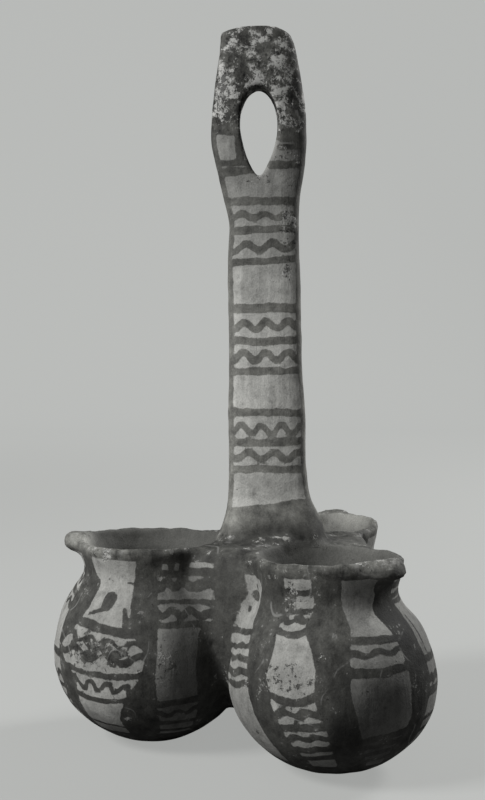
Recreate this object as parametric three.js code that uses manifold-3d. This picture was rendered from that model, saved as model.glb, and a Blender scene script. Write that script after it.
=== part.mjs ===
// Coupled pottery vessel: three hollow round jars with everted rims, welded in a triangle round the foot of one
// tall strap handle, which ends in an egg-shaped hanging hole. It was joined wet and fired as one body.
// Millimetres, +Z up, the front towards -Y. Everything is first laid out round the handle's axis, and the last
// step moves the whole to the middle of its own footprint.

import * as THREE from 'three';
import { mergeVertices } from 'three/addons/utils/BufferGeometryUtils.js';
import Module from 'manifold-3d';

const wasm = await Module();
wasm.setup();

// Walls, shared by the three jars
const BODY_WALL = 5;
const NECK_WALL = 4.6;
const LIP_WIDTH = 3.4;
const LIP_HEIGHT = 3;
const LIP_BULGE = 0.1;
const LIP_EDGE = 1.2;
const LIP_ROUNDING = 1;
const FLOOR_THICKNESS = 6;
const FOOT_RADIUS = 9.5;

// How the neck opens outwards above its narrowest ring, and where the rim starts to take the lug's shape
const FLARE_RISE = 5;
const FLARE_WIDENING = 0.9;
const RIM_START = 3;

// The hollow's throat: it starts under the shoulder and widens a little above the narrowest ring
const THROAT_DROP = 2;
const THROAT_RISE = 4;
const THROAT_WIDENING = 0.6;

// The height over which a neck leaves its jar's axis
const NECK_TURN = 14;

// Each jar: its axis, its belly and the height of the belly's upper half, its neck, how far the neck sits off
// the body's axis, its rim, and the slow wave of the rim. The lug is the thumb tongue on the rim, at lugAngle
// degrees from +X: it reaches out, is thicker than the lip by its lift and its drop, and droops by losing a
// share of its reach at the top. The rim rises by jointRise towards the handle.
const JARS = [
	{
		x: -49.3, y: -2, belly: 41.9, bellyHeight: 37.6, upperHalf: 44.4, shoulder: 67,
		neck: 28.9, neckHeight: 73, neckShift: 0, rim: 31.2, rimHeight: 85.3, jointRise: 2,
		lugAngle: 175, lugReach: 7.2, lugLift: 2.2, lugDrop: 0, lugDroop: 0.15,
		wave: 0.4, waves: 3, wavePhase: 0.4,
	},
	{
		x: 25.2, y: -40.2, belly: 41.4, bellyHeight: 35.7, upperHalf: 41.1, shoulder: 63,
		neck: 27.8, neckHeight: 71, neckShift: -2, rim: 30.3, rimHeight: 84.8, jointRise: 0,
		lugAngle: -47, lugReach: 7, lugLift: 2.4, lugDrop: 2, lugDroop: 0.4,
		wave: 1.5, waves: 1, wavePhase: Math.PI,
	},
	{
		x: 21.3, y: 42.3, belly: 41.5, bellyHeight: 36.6, upperHalf: 42.5, shoulder: 65,
		neck: 28.6, neckHeight: 72, neckShift: 0, rim: 30.8, rimHeight: 85.3, jointRise: 0.8,
		lugAngle: 66, lugReach: 5.4, lugLift: 2.6, lugDrop: 0.5, lugDroop: 0.3,
		wave: 0.8, waves: 3, wavePhase: 0.6,
	},
];
const LUG_HALF_ANGLE = 15;
const LUG_SQUARENESS = 4;
const LUG_ROOT = 4.5;
const JOINT_HALF_ANGLE = 38;
const JAR_SIDES = 36;
const HOLLOW_SIDES = 30;
const BELLY_RINGS = 13;
const HOLLOW_RINGS = 10;
const NECK_RINGS = 6;
const MOUTH_CUT = 12;

// The strap handle: its left and right edge at each height, as THREE.Vector3(left, right, height)
const STRAP_EDGES = [
	new THREE.Vector3(-18, 22, 74),
	new THREE.Vector3(-20, 25, 84),
	new THREE.Vector3(-19.4, 24.2, 90),
	new THREE.Vector3(-18, 22, 95),
	new THREE.Vector3(-17.2, 18.6, 101.5),
	new THREE.Vector3(-16.8, 17.2, 110),
	new THREE.Vector3(-16.8, 16.2, 140),
	new THREE.Vector3(-16.5, 14.5, 170),
	new THREE.Vector3(-16.9, 13.9, 205),
	new THREE.Vector3(-16.6, 13.3, 221),
	new THREE.Vector3(-19.1, 13.9, 231),
	new THREE.Vector3(-21.5, 15.4, 241),
	new THREE.Vector3(-23.9, 16.4, 254),
	new THREE.Vector3(-23.6, 16.1, 265),
	new THREE.Vector3(-22, 14.4, 278),
	new THREE.Vector3(-20.4, 12.2, 289),
	new THREE.Vector3(-19.8, 10.6, 295),
	new THREE.Vector3(-18.4, 8.4, 298.4),
	new THREE.Vector3(-12, 4.4, 300),
];
const STRAP_RINGS = 33;
const STRAP_SIDES = 20;
const STRAP_SQUARENESS = 2.9;
const STRAP_THICKNESS = 13;
const STRAP_TOP_THICKNESS = 10;
const STRAP_TOP_TAPER = 285;
const STRAP_FOOT_THICKNESS = 36;
const STRAP_FOOT = 78;
const STRAP_FOOT_TOP = 106;
const STRAP_TOP = 300;

// The hanging hole, an egg with its point down
const HOLE_CENTRE_X = -3.8;
const HOLE_BOTTOM = 237.4;
const HOLE_TOP = 275;
const HOLE_HALF_WIDTH = 7.8;
const HOLE_WIDEST = 260;
const HOLE_POINT_SPREAD = 0.34;
const HOLE_POINT_RISE = 2.9;
const HOLE_LOWER_SWELL = 12.4;
const HOLE_UPPER_SWELL = 8.5;
const HOLE_CROWN_SPREAD = 0.58;
const HOLE_CURVE_SEGMENTS = 7;
const HOLE_CUT_DEPTH = 40;

// The clay round the handle's axis, as THREE.Vector2(radius, height)
const COLUMN_PROFILE = [
	new THREE.Vector2(0, 12),
	new THREE.Vector2(4, 12),
	new THREE.Vector2(11, 18),
	new THREE.Vector2(16, 28),
	new THREE.Vector2(17, 42),
	new THREE.Vector2(17, 60),
	new THREE.Vector2(19, 74),
	new THREE.Vector2(21, 81),
	new THREE.Vector2(20.5, 85),
	new THREE.Vector2(18, 88.5),
	new THREE.Vector2(0, 88.5),
];
const COLUMN_SIDES = 28;

// The thick webs that fill the gaps between the jars: how far each one's outer face stands out from the line
// between the two jars' axes, as THREE.Vector2(distance, height)
const FRONT_WEB = [
	new THREE.Vector2(-4, 15),
	new THREE.Vector2(4, 20),
	new THREE.Vector2(9, 26),
	new THREE.Vector2(13, 34),
	new THREE.Vector2(15.5, 44),
	new THREE.Vector2(16, 60),
	new THREE.Vector2(15.5, 74),
	new THREE.Vector2(14.5, 80),
	new THREE.Vector2(12.5, 83.5),
	new THREE.Vector2(9, 85.5),
];
const SIDE_WEB = [
	new THREE.Vector2(-4, 15),
	new THREE.Vector2(2, 20),
	new THREE.Vector2(6, 26),
	new THREE.Vector2(9, 34),
	new THREE.Vector2(11, 44),
	new THREE.Vector2(11.5, 60),
	new THREE.Vector2(13.5, 70),
	new THREE.Vector2(19, 77),
	new THREE.Vector2(20.5, 82),
	new THREE.Vector2(17, 84.5),
];
const HIDDEN_WEB = [
	new THREE.Vector2(-4, 15),
	new THREE.Vector2(2, 20),
	new THREE.Vector2(6, 26),
	new THREE.Vector2(9, 34),
	new THREE.Vector2(11, 44),
	new THREE.Vector2(11.5, 60),
	new THREE.Vector2(11.5, 74),
	new THREE.Vector2(11, 80),
	new THREE.Vector2(9.5, 83),
	new THREE.Vector2(6.5, 85),
];
const WEB_HALF_LENGTH = 31;
const WEB_INNER = 9;
const WEB_SIDES = 20;
const WEB_SQUARENESS = 3.2;

const PAINTED_SLIP = new THREE.MeshStandardMaterial({ color: 0xa9a49a, roughness: 0.85, metalness: 0 });
PAINTED_SLIP.name = 'painted_slip';

const MERGE_DISTANCE = 1e-4;

// Vertices and triangles of a closed geometry, merged and with its collapsed triangles dropped
function closedBody(geometry) {
	geometry.deleteAttribute('normal');
	geometry.deleteAttribute('uv');
	const merged = mergeVertices(geometry, MERGE_DISTANCE);
	const source = merged.index.array;
	const corners = [];
	for (let i = 0; i < source.length; i += 3) {
		const [a, b, c] = [source[i], source[i + 1], source[i + 2]];
		if (a !== b && b !== c && c !== a) corners.push(a, b, c);
	}
	const vertProperties = Float32Array.from(merged.attributes.position.array);
	const solid = () => {
		const triVerts = Uint32Array.from(corners);
		return new wasm.Manifold(new wasm.Mesh({ numProp: 3, vertProperties, triVerts }));
	};
	const body = solid();
	if (body.volume() > 0) return body;
	corners.reverse();
	return solid();
}

// A closed body through a stack of rings of points, each ring with the same count, capped at both ends
function loft(rings) {
	const sides = rings[0].length;
	const positions = rings.flat().flatMap((p) => [p.x, p.y, p.z]);
	const index = [];
	for (let ring = 0; ring < rings.length - 1; ring++) {
		for (let side = 0; side < sides; side++) {
			const next = (side + 1) % sides;
			const [a, b] = [ring * sides + side, ring * sides + next];
			const [c, d] = [a + sides, b + sides];
			index.push(a, b, d, a, d, c);
		}
	}
	const ends = [rings[0], rings[rings.length - 1]];
	ends.forEach((ring, end) => {
		const middle = ring.reduce((sum, p) => sum.add(p), new THREE.Vector3()).divideScalar(sides);
		const centre = positions.length / 3;
		positions.push(middle.x, middle.y, middle.z);
		const first = end === 0 ? 0 : (rings.length - 1) * sides;
		for (let side = 0; side < sides; side++) {
			const [a, b] = [first + side, first + (side + 1) % sides];
			index.push(...(end === 0 ? [centre, b, a] : [centre, a, b]));
		}
	});
	const geometry = new THREE.BufferGeometry();
	geometry.setAttribute('position', new THREE.Float32BufferAttribute(positions, 3));
	geometry.setIndex(index);
	return closedBody(geometry);
}

// A body of revolution about a jar's axis, with one column of vertices on the lug's angle
function revolve(profile, segments, jar) {
	const geometry = new THREE.LatheGeometry(profile, segments, THREE.MathUtils.degToRad(jar.lugAngle + 90));
	geometry.rotateX(Math.PI / 2);
	return geometry;
}

// Points of the belly's arc, from the foot up to the shoulder, shrunk inwards by the wall
function bellyArc(jar, inset, footHeight, shoulderHeight, count) {
	const radius = jar.belly - inset;
	const lowerHalf = (jar.bellyHeight - footHeight) / Math.sqrt(1 - (FOOT_RADIUS / radius) ** 2);
	const upperHalf = jar.upperHalf - inset;
	const start = -Math.asin((jar.bellyHeight - footHeight) / lowerHalf);
	const end = Math.asin((shoulderHeight - jar.bellyHeight) / upperHalf);
	return Array.from({ length: count }, (_, i) => {
		const angle = start + (end - start) * i / (count - 1);
		const rise = Math.sin(angle) * (angle < 0 ? lowerHalf : upperHalf);
		return new THREE.Vector2(radius * Math.cos(angle), jar.bellyHeight + rise);
	});
}

// The outside of a jar, filled solid up to its rim
function jarOutside(jar) {
	const belly = bellyArc(jar, 0, 0, jar.shoulder, BELLY_RINGS);
	const neck = new THREE.SplineCurve([
		belly[belly.length - 1],
		new THREE.Vector2(jar.neck, jar.neckHeight),
		new THREE.Vector2(jar.neck + FLARE_WIDENING, jar.neckHeight + FLARE_RISE),
		new THREE.Vector2(jar.rim, jar.rimHeight - LIP_HEIGHT),
	]).getPoints(NECK_RINGS).slice(1);
	const profile = [
		new THREE.Vector2(0, 0),
		...belly,
		...neck,
		new THREE.Vector2(jar.rim + LIP_BULGE, jar.rimHeight - LIP_EDGE),
		new THREE.Vector2(jar.rim - LIP_ROUNDING, jar.rimHeight),
		new THREE.Vector2(0, jar.rimHeight),
	];
	const geometry = revolve(profile, JAR_SIDES, jar);
	const place = geometry.attributes.position;
	const lugAngle = THREE.MathUtils.degToRad(jar.lugAngle);
	const toHandle = Math.atan2(-jar.y, -jar.x);
	const underLip = jar.rimHeight - LIP_HEIGHT;
	for (let i = 0; i < place.count; i++) {
		const [x, y, z] = [place.getX(i), place.getY(i), place.getZ(i)];
		const angle = Math.atan2(y, x);
		const radius = Math.hypot(x, y);
		const atRim = THREE.MathUtils.smoothstep(z, jar.neckHeight + RIM_START, underLip);
		const atLug = THREE.MathUtils.smoothstep(z, underLip - LUG_ROOT, underLip);
		const upLip = THREE.MathUtils.smoothstep(z, underLip, jar.rimHeight);
		const offLug = THREE.MathUtils.radToDeg(Math.abs(wrapAngle(angle - lugAngle)));
		const offHandle = THREE.MathUtils.radToDeg(Math.abs(wrapAngle(angle - toHandle)));
		const lug = Math.exp(-((offLug / LUG_HALF_ANGLE) ** LUG_SQUARENESS)) * atLug;
		const joint = jar.jointRise * Math.exp(-((offHandle / JOINT_HALF_ANGLE) ** 2));
		const onRim = Math.min(radius / jar.rim, 1);
		const wave = (jar.wave * Math.sin(jar.waves * angle + jar.wavePhase) + joint) * atRim;
		const reach = radius + jar.lugReach * (1 - jar.lugDroop * upLip) * lug * onRim;
		place.setXYZ(
			i,
			jar.x + neckOffset(jar, z) + reach * Math.cos(angle),
			jar.y + reach * Math.sin(angle),
			z + (THREE.MathUtils.lerp(-jar.lugDrop, jar.lugLift, upLip) * lug + wave) * onRim,
		);
	}
	return closedBody(geometry);
}

// The hollow of a jar, carried on past its rim so that it opens the mouth
function jarHollow(jar) {
	const profile = [
		new THREE.Vector2(0, FLOOR_THICKNESS),
		...bellyArc(jar, BODY_WALL, FLOOR_THICKNESS, jar.shoulder - THROAT_DROP, HOLLOW_RINGS),
		new THREE.Vector2(jar.neck - NECK_WALL, jar.neckHeight - THROAT_DROP),
		new THREE.Vector2(jar.neck - NECK_WALL + THROAT_WIDENING, jar.neckHeight + THROAT_RISE),
		new THREE.Vector2(jar.rim - LIP_WIDTH, jar.rimHeight),
		new THREE.Vector2(jar.rim - LIP_WIDTH, jar.rimHeight + MOUTH_CUT),
		new THREE.Vector2(0, jar.rimHeight + MOUTH_CUT),
	];
	const geometry = revolve(profile, HOLLOW_SIDES, jar);
	const place = geometry.attributes.position;
	for (let i = 0; i < place.count; i++) {
		place.setX(i, place.getX(i) + jar.x + neckOffset(jar, place.getZ(i)));
		place.setY(i, place.getY(i) + jar.y);
	}
	return closedBody(geometry);
}

// How far a jar's axis has moved sideways at a height, on its way from the body to the neck
function neckOffset(jar, z) {
	return jar.neckShift * THREE.MathUtils.smoothstep(z, jar.neckHeight - NECK_TURN, jar.neckHeight);
}

// An angle in radians brought between minus and plus half a turn
function wrapAngle(angle) {
	return Math.atan2(Math.sin(angle), Math.cos(angle));
}

// The strap's thickness at a height: thick where it grows out of the clay, thin at its top end
function strapThickness(z) {
	const foot = 1 - THREE.MathUtils.smoothstep(z, STRAP_FOOT, STRAP_FOOT_TOP);
	const top = THREE.MathUtils.smoothstep(z, STRAP_TOP_TAPER, STRAP_TOP);
	return STRAP_THICKNESS + (STRAP_FOOT_THICKNESS - STRAP_THICKNESS) * foot
		+ (STRAP_TOP_THICKNESS - STRAP_THICKNESS) * top;
}

// The strap, a stack of squarish ovals along its length
function strapHandle() {
	const edges = new THREE.CatmullRomCurve3(STRAP_EDGES, false, 'centripetal').getPoints(STRAP_RINGS);
	const power = 2 / STRAP_SQUARENESS;
	const rings = edges.map(({ x: left, y: right, z }) => {
		const [middle, halfWidth, halfDepth] = [(left + right) / 2, (right - left) / 2, strapThickness(z) / 2];
		return Array.from({ length: STRAP_SIDES }, (_, side) => {
			const angle = 2 * Math.PI * side / STRAP_SIDES;
			const [across, deep] = [Math.cos(angle), Math.sin(angle)];
			return new THREE.Vector3(
				middle + halfWidth * Math.sign(across) * Math.abs(across) ** power,
				halfDepth * Math.sign(deep) * Math.abs(deep) ** power,
				z,
			);
		});
	});
	return loft(rings);
}

// The cutter for the hanging hole
function hangingHole() {
	const [x, low, wide, top, half] = [HOLE_CENTRE_X, HOLE_BOTTOM, HOLE_WIDEST, HOLE_TOP, HOLE_HALF_WIDTH];
	const egg = new THREE.Shape();
	egg.moveTo(x, low);
	const [point, crown] = [HOLE_POINT_SPREAD * half, HOLE_CROWN_SPREAD * half];
	const pointRise = low + HOLE_POINT_RISE;
	const lowerSwell = low + HOLE_LOWER_SWELL;
	const upperSwell = wide + HOLE_UPPER_SWELL;
	egg.bezierCurveTo(x + point, pointRise, x + half, lowerSwell, x + half, wide);
	egg.bezierCurveTo(x + half, upperSwell, x + crown, top, x, top);
	egg.bezierCurveTo(x - crown, top, x - half, upperSwell, x - half, wide);
	egg.bezierCurveTo(x - half, lowerSwell, x - point, pointRise, x, low);
	const geometry = new THREE.ExtrudeGeometry(egg, {
		depth: HOLE_CUT_DEPTH,
		bevelEnabled: false,
		curveSegments: HOLE_CURVE_SEGMENTS,
	});
	geometry.rotateX(Math.PI / 2);
	geometry.translate(0, HOLE_CUT_DEPTH / 2, 0);
	return closedBody(geometry);
}

// The column of clay round the handle's axis
function clayColumn() {
	const geometry = new THREE.LatheGeometry(COLUMN_PROFILE, COLUMN_SIDES);
	geometry.rotateX(Math.PI / 2);
	return closedBody(geometry);
}

// The web between two jars, a stack of squarish ovals that lie along the line between them
function clayWeb(start, end, faces) {
	const along = new THREE.Vector2(end.x - start.x, end.y - start.y).normalize();
	const outward = new THREE.Vector2(along.y, -along.x);
	const middle = new THREE.Vector2((start.x + end.x) / 2, (start.y + end.y) / 2);
	const power = 2 / WEB_SQUARENESS;
	const rings = faces.map(({ x: face, y: z }) => Array.from({ length: WEB_SIDES }, (_, side) => {
		const angle = 2 * Math.PI * side / WEB_SIDES;
		const [across, deep] = [Math.cos(angle), Math.sin(angle)];
		const length = WEB_HALF_LENGTH * Math.sign(across) * Math.abs(across) ** power;
		const swell = (face + WEB_INNER) / 2 * Math.sign(deep) * Math.abs(deep) ** power;
		const place = middle.clone().addScaledVector(along, length);
		place.addScaledVector(outward, swell + (face - WEB_INNER) / 2);
		return new THREE.Vector3(place.x, place.y, z);
	}));
	return loft(rings);
}

// The whole pot: the joined outsides, with any air pocket between them filled, then hollowed
function vessel() {
	const [left, front, back] = JARS;
	const webs = [
		clayWeb(left, front, FRONT_WEB),
		clayWeb(front, back, SIDE_WEB),
		clayWeb(back, left, HIDDEN_WEB),
	];
	const solids = [...JARS.map(jarOutside), ...webs, clayColumn(), strapHandle()];
	const joined = solids.reduce((sum, solid) => sum.add(solid));
	const [filled] = joined.decompose().sort((a, b) => b.volume() - a.volume());
	const hollowed = JARS.map(jarHollow).reduce((sum, hollow) => sum.subtract(hollow), filled);
	const { vertProperties, triVerts } = hollowed.subtract(hangingHole()).getMesh();
	const geometry = new THREE.BufferGeometry();
	geometry.setAttribute('position', new THREE.BufferAttribute(vertProperties, 3));
	geometry.setIndex(new THREE.BufferAttribute(triVerts, 1));
	geometry.computeBoundingBox();
	const middle = geometry.boundingBox.getCenter(new THREE.Vector3());
	geometry.translate(-middle.x, -middle.y, -geometry.boundingBox.min.z);
	geometry.computeVertexNormals();
	const mesh = new THREE.Mesh(geometry, PAINTED_SLIP);
	mesh.name = 'coupled_vessel';
	mesh.userData.handleAxis = [-middle.x, -middle.y];
	return mesh;
}

const part = new THREE.Group();
part.add(vessel());

export default part;
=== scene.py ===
"""A coupled pottery vessel: three painted jars welded round the foot of one tall strap handle.

The pot is one fired piece of clay. Its outsides and hollows are thrown ring by ring, joined and cut,
melted together into one skin, and worked over by hand. The brushwork is worked out as a distance to the
nearest edge of dark paint at every point of the skin, which the finish turns into worn slip and paint.
"""

import logging
import math
from collections.abc import Sequence
from dataclasses import dataclass, field
from enum import Enum

import bpy
import numpy as np
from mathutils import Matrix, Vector, noise


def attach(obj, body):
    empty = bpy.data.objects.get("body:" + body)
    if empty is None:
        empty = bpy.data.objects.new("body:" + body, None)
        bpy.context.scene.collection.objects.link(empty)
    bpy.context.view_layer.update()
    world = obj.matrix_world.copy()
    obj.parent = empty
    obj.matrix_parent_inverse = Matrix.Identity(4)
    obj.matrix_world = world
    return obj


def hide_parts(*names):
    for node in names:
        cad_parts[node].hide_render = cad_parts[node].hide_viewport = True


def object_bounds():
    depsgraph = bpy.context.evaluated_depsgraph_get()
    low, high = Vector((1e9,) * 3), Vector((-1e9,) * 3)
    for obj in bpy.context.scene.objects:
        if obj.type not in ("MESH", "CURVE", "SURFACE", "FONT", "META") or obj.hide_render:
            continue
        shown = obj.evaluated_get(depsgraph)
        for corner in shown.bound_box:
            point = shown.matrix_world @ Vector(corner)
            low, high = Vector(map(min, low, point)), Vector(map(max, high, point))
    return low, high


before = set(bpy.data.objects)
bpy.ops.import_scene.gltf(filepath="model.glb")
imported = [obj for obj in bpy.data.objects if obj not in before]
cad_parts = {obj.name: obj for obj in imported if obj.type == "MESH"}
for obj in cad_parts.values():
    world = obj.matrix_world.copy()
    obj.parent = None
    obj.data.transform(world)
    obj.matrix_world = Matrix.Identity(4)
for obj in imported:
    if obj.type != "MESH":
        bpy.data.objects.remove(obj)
cad_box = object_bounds()

log = logging.getLogger("coupled_vessel")

MM = 0.001
HANDLE_AXIS = (12.25, -1.075)
LEAST_SHARE = 0.02

Array = np.ndarray
Knots = Sequence[tuple[float, float]]


def smoothstep(values: Array, low: float, high: float) -> Array:
    """Gives 0 below low, 1 above high, and a smooth rise between them."""
    share = np.clip((np.asarray(values, float) - low) / (high - low), 0.0, 1.0)
    return share * share * (3.0 - 2.0 * share)


def through(knots: Knots, at: Array) -> Array:
    """Follows a smooth curve through knots.

    Args:
        knots: Pairs of a place and a value, in rising order of place.
        at: The places to read.

    Returns:
        The curve's value at each place, level beyond both ends.
    """
    places = np.array([place for place, _ in knots], float)
    values = np.array([value for _, value in knots], float)
    slopes = np.gradient(values, places)
    where = np.clip(np.asarray(at, float), places[0], places[-1])
    span = np.clip(np.searchsorted(places, where, side="right") - 1, 0, len(places) - 2)
    width = places[span + 1] - places[span]
    t = (where - places[span]) / width
    rise = values[span] * (1 + 2 * t) * (1 - t) ** 2 + values[span + 1] * t * t * (3 - 2 * t)
    return rise + width * t * (1 - t) * (slopes[span] * (1 - t) - slopes[span + 1] * t)


def turn_from(angles: Array, middle: float) -> Array:
    """Gives how many degrees each angle lies past a middle, from -180 to 180."""
    return (angles - middle + 180) % 360 - 180


def squarish(swing: Array, squareness: float) -> Array:
    """Pushes a sine or cosine out towards the sides of a square. A squareness of 2 leaves it as it is."""
    return np.sign(swing) * np.abs(swing) ** (2 / squareness)


@dataclass(frozen=True)
class Swell:
    """Smooth noise: how high it swells and how wide a swell is, in millimetres, and its seed, any number."""

    height: float
    width: float
    seed: float

    def at(self, points: Array) -> Array:
        """Reads the noise.

        Args:
            points: Places in millimetres, one row each.

        Returns:
            One value for each point, between about minus and plus the height.
        """
        shift = Vector((self.seed, self.seed * 1.7, -self.seed))
        return self.height * np.array([noise.noise(Vector(point) / self.width + shift) for point in points])


@dataclass(frozen=True)
class JarPlan:
    """The sizes of one jar, in millimetres about the handle's axis, and where its thumb lug stands."""

    name: str
    x: float
    y: float
    belly: float
    belly_height: float
    upper_half: float
    shoulder: float
    neck: float
    neck_height: float
    neck_shift: float
    rim: float
    rim_height: float
    lug_angle: float
    lug_reach: float
    lug_lift: float
    lug_drop: float
    lug_droop: float
    wave: float
    waves: int
    wave_phase: float
    joint_rise: float


LEFT_JAR = JarPlan(
    name="left", x=-49.3, y=-2, belly=41.9, belly_height=37.6, upper_half=44.4, shoulder=67,
    neck=28.9, neck_height=73, neck_shift=0, rim=31.2, rim_height=85.3,
    lug_angle=175, lug_reach=7.2, lug_lift=2.2, lug_drop=0, lug_droop=0.15,
    wave=0.4, waves=3, wave_phase=0.4, joint_rise=2.0,
)
FRONT_JAR = JarPlan(
    name="front", x=25.2, y=-40.2, belly=41.4, belly_height=35.7, upper_half=41.1, shoulder=63,
    neck=27.8, neck_height=71, neck_shift=-2, rim=30.3, rim_height=84.8,
    lug_angle=-47, lug_reach=7.0, lug_lift=2.4, lug_drop=2, lug_droop=0.4,
    wave=1.5, waves=1, wave_phase=math.pi, joint_rise=0,
)
BACK_JAR = JarPlan(
    name="back", x=21.3, y=42.3, belly=41.5, belly_height=36.6, upper_half=42.5, shoulder=65,
    neck=28.6, neck_height=72, neck_shift=0, rim=30.8, rim_height=85.3,
    lug_angle=66, lug_reach=5.4, lug_lift=2.6, lug_drop=0.5, lug_droop=0.3,
    wave=0.8, waves=3, wave_phase=0.6, joint_rise=0.8,
)


class Clay(Enum):
    """What one solid does to another."""

    JOIN = "UNION"
    CUT = "DIFFERENCE"


class Workshop:
    """The few moves that every shell is made with, all in millimetres about the handle's axis."""

    @staticmethod
    def clear() -> None:
        """Leaves nothing selected."""
        bpy.ops.object.select_all(action="DESELECT")

    @staticmethod
    def throw(name: str, centre: tuple[float, float], profile: Knots, sides: int) -> bpy.types.Object:
        """Draws a solid up from a disc, ring by ring, as on a wheel.

        Args:
            name: The new object's name.
            centre: The axis it is thrown about.
            profile: Radius and height of each ring, from the bottom up.
            sides: How many faces go round.

        Returns:
            The closed solid.
        """
        Workshop.clear()
        x, y = centre[0] * MM, centre[1] * MM
        radius, height = profile[0]
        bpy.ops.mesh.primitive_circle_add(
            vertices=sides, radius=radius * MM, fill_type="NGON", location=(x, y, height * MM)
        )
        piece = bpy.context.object
        piece.name = name
        bpy.ops.object.transform_apply(location=True, rotation=False, scale=False)
        bpy.ops.object.mode_set(mode="EDIT")
        bpy.ops.mesh.select_all(action="SELECT")
        for next_radius, next_height in profile[1:]:
            rise = (0, 0, (next_height - height) * MM)
            bpy.ops.mesh.extrude_region_move(TRANSFORM_OT_translate={"value": rise})
            grow = next_radius / radius
            bpy.ops.transform.resize(value=(grow, grow, 1), center_override=(x, y, next_height * MM))
            radius, height = next_radius, next_height
        Workshop.face_out()
        return piece

    @staticmethod
    def face_out() -> None:
        """Turns every face of the mesh in edit mode outwards, and leaves edit mode."""
        bpy.ops.mesh.select_all(action="SELECT")
        bpy.ops.mesh.normals_make_consistent(inside=False)
        bpy.ops.object.mode_set(mode="OBJECT")

    @staticmethod
    def pick(piece: bpy.types.Object, chosen: Array) -> None:
        """Opens a piece in edit mode with only some of its vertices selected.

        Args:
            piece: The piece, which is the active object.
            chosen: True for each vertex to select.
        """
        bpy.ops.object.mode_set(mode="EDIT")
        bpy.ops.mesh.select_mode(type="VERT")
        bpy.ops.mesh.select_all(action="DESELECT")
        bpy.ops.object.mode_set(mode="OBJECT")
        piece.data.vertices.foreach_set("select", chosen)
        bpy.ops.object.mode_set(mode="EDIT")

    @staticmethod
    def places(piece: bpy.types.Object) -> Array:
        """Reads a piece's vertices.

        Args:
            piece: The piece.

        Returns:
            Their places in millimetres, one row each.
        """
        flat = np.empty(len(piece.data.vertices) * 3)
        piece.data.vertices.foreach_get("co", flat)
        return flat.reshape(-1, 3) / MM

    @staticmethod
    def normals(piece: bpy.types.Object) -> Array:
        """Reads a piece's vertex normals.

        Args:
            piece: The piece.

        Returns:
            The direction each vertex faces, one row each.
        """
        flat = np.empty(len(piece.data.vertices) * 3)
        piece.data.vertices.foreach_get("normal", flat)
        return flat.reshape(-1, 3)

    @staticmethod
    def press(piece: bpy.types.Object, places: Array) -> None:
        """Moves a piece's vertices to new places in millimetres."""
        piece.data.vertices.foreach_set("co", (places * MM).ravel())
        piece.data.update()

    @staticmethod
    def work(piece: bpy.types.Object, kind: str, **settings: object) -> None:
        """Adds one modifier and applies it.

        Args:
            piece: The piece to work on.
            kind: The modifier's type.
            settings: The modifier's settings.
        """
        Workshop.clear()
        piece.select_set(True)
        bpy.context.view_layer.objects.active = piece
        modifier = piece.modifiers.new(kind.lower(), kind)
        for setting, value in settings.items():
            setattr(modifier, setting, value)
        bpy.ops.object.modifier_apply(modifier=modifier.name)

    @staticmethod
    def work_part(piece: bpy.types.Object, share: Array, kind: str, **settings: object) -> None:
        """Adds one modifier that works on a part of a piece, and applies it.

        Args:
            piece: The piece to work on.
            share: How strongly it works at each vertex, from 0 to 1.
            kind: The modifier's type.
            settings: The modifier's other settings.
        """
        group = piece.vertex_groups.new(name="worked")
        for index in np.nonzero(share > LEAST_SHARE)[0]:
            group.add([int(index)], float(share[index]), "REPLACE")
        Workshop.work(piece, kind, vertex_group=group.name, **settings)
        piece.vertex_groups.clear()

    @staticmethod
    def cut_or_join(piece: bpy.types.Object, other: bpy.types.Object, move: Clay) -> None:
        """Joins another solid to a piece or cuts it away, and throws the other solid away."""
        Workshop.work(piece, "BOOLEAN", object=other, operation=move.value, solver="MANIFOLD")
        bpy.data.objects.remove(other)


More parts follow.
